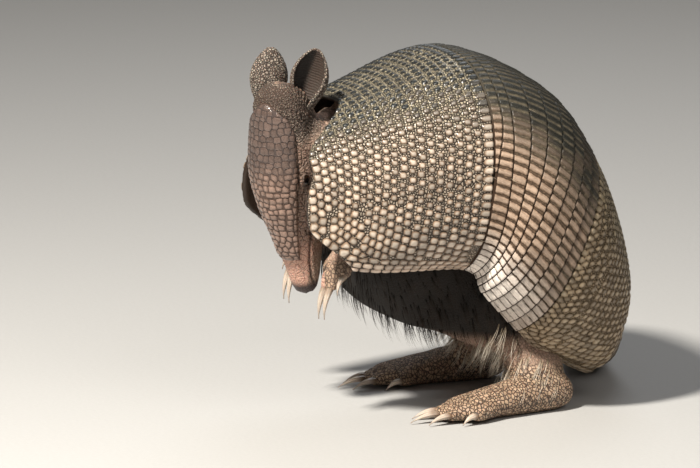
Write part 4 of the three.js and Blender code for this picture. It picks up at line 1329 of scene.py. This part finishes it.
girth = np.maximum(radius[:, None] + rise, 0.5)[..., None]
rings = centre[:, None] + girth * (aside[:, None] * np.cos(angle)[:, None]
                                   + top[:, None] * np.sin(angle)[:, None])
rings[..., 2] = np.maximum(rings[..., 2], 0)
points, faces = closed_tube(rings)
tail_horn = horn("tail_horn", flank=(0.17, 0.125, 0.088), crown=(0.26, 0.205, 0.150),
                 back=(0.13, 0.105, 0.078),
                 small_flank=(0.08, 0.055, 0.038), small_back=(0.05, 0.038, 0.028),
                 pale=(0.30, 0.23, 0.17), seam=(0.026, 0.017, 0.012), lines=1.4, gloss=0.45)
tail = piece("tail_sheath", points, faces, tail_horn, **{
    key: np.append(np.broadcast_to(value, room.shape).ravel(), (1.0, 1.0))
    for key, value in (("room", room), ("rim", 1 + 0 * room), ("shade", shade),
                       ("up", 0.5 + 0.5 * np.sin(angle)[None]), ("hem", 0 * room))})
lay_out(tail, length[:, None] + 0 * room, radius[:, None] * angle[None])
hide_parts("tail", "tail_tip")
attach(tail, "root")


# ---------------------------------------------------------------- hair
# Hair grows where there is no armour: long under the belly, painted nearly black there for
# the shade under the body, in pale bristles on the thighs, and short and white on the cheeks.
# A few bristles stand out over the shell.

STRAND_STEPS, STRAND_SIDES = 5, 3


def strands(name, count, splay, radius, bend):
    """A tuft of tapered hairs one metre long, from the origin up Z and leaning over to X."""
    hairs, faces, patch = [], [], []
    for k in range(count):
        turn = k * 2.4
        foot = np.array([math.cos(turn), math.sin(turn), 0]) * splay * 0.10 * (k > 0)
        lean = np.array([math.cos(turn), math.sin(turn), 0]) * splay * (k > 0)
        reach = 1 - 0.13 * k
        start = len(hairs)
        for i in range(STRAND_STEPS + 1):
            t = i / STRAND_STEPS
            bow = np.array([bend * t * t, 0, t * (1 - 0.3 * bend * t)])
            middle = foot + (lean * t + bow) * reach
            for j in range(STRAND_SIDES):
                angle = j * 2 * math.pi / STRAND_SIDES
                hairs.append(middle + radius * (1 - 0.93 * t) * np.array(
                    [math.cos(angle), math.sin(angle), 0]))
                patch.append(((k + (j + 0.5) / STRAND_SIDES) / count, t, 0))
        faces += grid_faces(STRAND_STEPS + 1, STRAND_SIDES, start, loop=True).tolist()
        tip = start + STRAND_STEPS * STRAND_SIDES
        faces.append(tuple(range(tip, tip + STRAND_SIDES)))
        faces.append(tuple(range(start + STRAND_SIDES - 1, start - 1, -1)))
    mesh = bpy.data.meshes.new(name)
    mesh.from_pydata([tuple(p) for p in hairs], [], faces)
    set_values(mesh, "patch", patch)
    return linked(name, mesh)


def hair_finish(name, root, tip, rough=0.45, shine=0.5):
    """Hair of one colour at the root and another at the tip, a little darker in patches."""
    finish = Finish(name, Specular_IOR_Level=shine)
    along, own = finish.attribute("along"), finish.noise(6, detail=2)
    colour = finish.mix(along.ramp(0.05, 0.7), root, tip)
    return finish.done(finish.mix(own.ramp(0.3, 0.7) * 0.4, colour, root),
                       rough + own * 0.2, own, depth=0.0001)


COAT_INPUTS = ("Tufts per square metre", "Shortest hair", "Longest hair", "Stand", "Wander",
               "Seed")


def coat_tree(tuft, material):
    """A node tree that plants tufts on a surface, along its lie, as thick as its density says."""
    tree = bpy.data.node_groups.new("coat", "GeometryNodeTree")
    face = tree.interface
    face.new_socket("Geometry", in_out="INPUT", socket_type="NodeSocketGeometry")
    for name in COAT_INPUTS:
        face.new_socket(name, in_out="INPUT",
                        socket_type="NodeSocketInt" if name == "Seed" else "NodeSocketFloat")
    face.new_socket("Geometry", in_out="OUTPUT", socket_type="NodeSocketGeometry")

    def add(kind, settings, values, out=0):
        node = tree.nodes.new(kind)
        for setting, value in settings.items():
            setattr(node, setting, value)
        for socket, value in values.items():
            if isinstance(value, bpy.types.NodeSocket):
                tree.links.new(value, node.inputs[socket])
            else:
                node.inputs[socket].default_value = value
        return node.outputs[out] if len(node.outputs) else None

    def carried(name, kind):
        return add("GeometryNodeInputNamedAttribute", {"data_type": kind}, {"Name": name})

    def scaled(way, by):
        return add("ShaderNodeVectorMath", {"operation": "SCALE"}, {0: way, "Scale": given[by]})

    def added(one, other):
        return add("ShaderNodeVectorMath", {"operation": "ADD"}, {0: one, 1: other})

    def drawn(kind, values, out=0):
        return add("FunctionNodeRandomValue", {"data_type": kind},
                   {**values, "Seed": given["Seed"]}, out)

    given = tree.nodes.new("NodeGroupInput").outputs
    lie = carried("lie", "FLOAT_VECTOR")
    dense = add("ShaderNodeMath", {"operation": "MULTIPLY"},
                {0: carried("hairy", "FLOAT"), 1: given["Tufts per square metre"]})
    spots = add("GeometryNodeDistributePointsOnFaces", {},
                {"Mesh": given["Geometry"], "Density": dense, "Seed": given["Seed"]}, "Points")
    normal = spots.node.outputs["Normal"]
    loose = drawn("FLOAT_VECTOR", {0: (-1, -1, -1), 1: (1, 1, 1)})
    way = added(added(lie, scaled(normal, "Stand")), scaled(loose, "Wander"))
    up = add("FunctionNodeAlignRotationToVector", {"axis": "Z"}, {"Vector": way})
    over = add("FunctionNodeAlignRotationToVector", {"axis": "X", "pivot_axis": "Z"},
               {"Rotation": up, "Vector": lie})
    size = drawn("FLOAT", {2: given["Shortest hair"], 3: given["Longest hair"]}, out=1)
    planted = add("GeometryNodeInstanceOnPoints", {}, {
        "Points": spots, "Instance": add("GeometryNodeObjectInfo", {}, {"Object": tuft},
                                         "Geometry"), "Rotation": over, "Scale": size})
    real = add("GeometryNodeRealizeInstances", {}, {"Geometry": planted})
    dressed = add("GeometryNodeSetMaterial", {}, {"Geometry": real, "Material": material})
    add("NodeGroupOutput", {}, {"Geometry": dressed})
    return tree


def drop_maps(mesh):
    """Take off a mesh's unwraps."""
    while mesh.uv_layers:
        mesh.uv_layers.remove(mesh.uv_layers[0])


PATCH = 0.003           # a tuft's size, as a share of the bake map
CLEARANCE = 0.0004      # hair that meets the floor lies this far above it, in metres


def plant(name, bed, tuft, material, hairy, lie, *sizes):
    """One coat piece on a bed that carries its roots' places, with its own bake map.

    It grows where `hairy` is above 0. The last six values are its inputs, as in COAT_INPUTS.
    """
    set_values(bed.data, "hairy", hairy)
    set_values(bed.data, "lie", lie)
    tree = coat_tree(tuft, material)
    modifier = bed.modifiers.new("coat", "NODES")
    modifier.node_group = tree
    sizes = dict(zip(COAT_INPUTS, sizes))
    for item in tree.interface.items_tree:
        if item.name in sizes:
            modifier[item.identifier] = sizes[item.name]
    mesh = worked_out(bed)
    bed.modifiers.clear()
    bpy.data.objects.remove(tuft)
    mesh.name = name
    place = read(mesh.vertices, "co")
    place[:, 2] = np.maximum(place[:, 2], CLEARANCE)
    mesh.vertices.foreach_set("co", place.ravel())
    root, patch = (read(mesh.attributes[key].data, "vector") for key in ("root", "patch"))
    corner = read(mesh.loops, "vertex_index", 1, int)[:, 0]
    drop_maps(mesh)
    mesh.uv_layers.new(name="OFBake").data.foreach_set(
        "uv", (root + patch * PATCH)[corner, :2].ravel())
    set_values(mesh, "along", patch[:, 1])
    mesh.polygons.foreach_set("use_smooth", np.ones(len(mesh.polygons), bool))
    body = linked(name, mesh)
    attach(body, "root")


# The skin's own unwrap gives each tuft its place on the bake map.
bed = linked("skin_bed", skin.data.copy())
bpy.ops.object.select_all(action="DESELECT")
bed.select_set(True)
bpy.context.view_layer.objects.active = bed
bpy.ops.object.mode_set(mode="EDIT")
bpy.ops.mesh.select_all(action="SELECT")
bpy.ops.uv.smart_project(angle_limit=math.radians(66), island_margin=0.002)
bpy.ops.object.mode_set(mode="OBJECT")
root = np.zeros((len(bed.data.vertices), 3))
corner = read(bed.data.loops, "vertex_index", 1, int)[:, 0]
root[corner, :2] = read(bed.data.uv_layers[0].data, "uv", 2)
drop_maps(bed.data)
set_values(bed.data, "root", root)
x, y, z = skin_points.T
outward = np.stack([np.sign(x) * smooth(np.abs(x), 5, 40), 0 * x, 0 * x], -1)

under = smooth(belly_shade_share, 0.3, 0.9) * (z > 26) * (np.abs(x) < 74)
foreleg = within(z, 84, 90, 108, 116) * (y < -52) * (np.abs(x) > 12) * 0.6
# Painted shade: the belly hair is coloured nearly black for the shade under the body.
plant("belly_hair", bed, strands("belly_tuft", 3, 0.10, 0.0085, 0.25),
      hair_finish("belly_hair", (0.005, 0.0035, 0.0025), (0.030, 0.019, 0.012), rough=0.66,
                  shine=0.12),
      np.maximum(under, foreleg), (0, 0.25, -1) + 0.15 * outward,
      45000.0, 0.008, 0.017, 0.35, 0.16, 3)

hem_line = np.interp(y, SHELL[3:7, 2], SHELL[3:7, 3])
thigh = smooth(z, 13, 20) * (z < hem_line - 1) * (np.abs(x) > 14) * smooth(y, 4, 14)
plant("thigh_bristles", bed, strands("leg_tuft", 2, 0.12, 0.0125, 0.30),
      hair_finish("thigh_bristles", (0.38, 0.30, 0.21), (0.86, 0.79, 0.68)),
      thigh, (0, -0.62, -1) + 0.30 * outward,
      74000.0, 0.009, 0.019, 0.34, 0.22, 5)

white = hair_finish("cheek_hair", (0.50, 0.42, 0.34), (0.88, 0.84, 0.78))
along, left, fore, angle, radius = head_place(skin_points)
downy = within(along, 14, 30, 96, 104) * smooth(-fore, -4, 6) * (radius < 32) * (y < -84)
plant("cheek_hair", bed, strands("down_tuft", 1, 0.1, 0.018, 0.35), white, downy,
      head_down * 0.9 - head_fore * 0.25 + 0 * skin_points,
      60000.0, 0.0018, 0.0042, 0.55, 0.22, 8)
bpy.data.objects.remove(bed)

# Bristles of the shell grow backwards, scattered over it.
s, h = np.meshgrid(np.linspace(0.15, 6.3, 90), np.linspace(-0.99, 0.99, 120), indexing="ij")
s = np.maximum(s, shoulder_front(h) + 0.03)
back_way, _, normal = frame_at(shell_point, s, h)
shell_bed = piece("shell_bed", (shell_point(s, h) - normal * 0.8).reshape(-1, 3),
                  grid_faces(*s.shape), white)
set_values(shell_bed.data, "root", np.stack([s / 6.5, (h + 1) / 2, 0 * s], -1).reshape(-1, 3))
plant("shell_bristles", shell_bed, strands("shell_bristle", 1, 0.1, 0.021, 0.3),
      hair_finish("shell_bristles", (0.42, 0.34, 0.24), (0.74, 0.66, 0.52)),
      (s < pelvic_rear(h) - 0.05).ravel() * 1.0,
      (back_way * 0.9 - np.array([0, 0, 0.25])).reshape(-1, 3),
      20000.0, 0.0035, 0.0070, 0.30, 0.20, 11)
bpy.data.objects.remove(shell_bed)
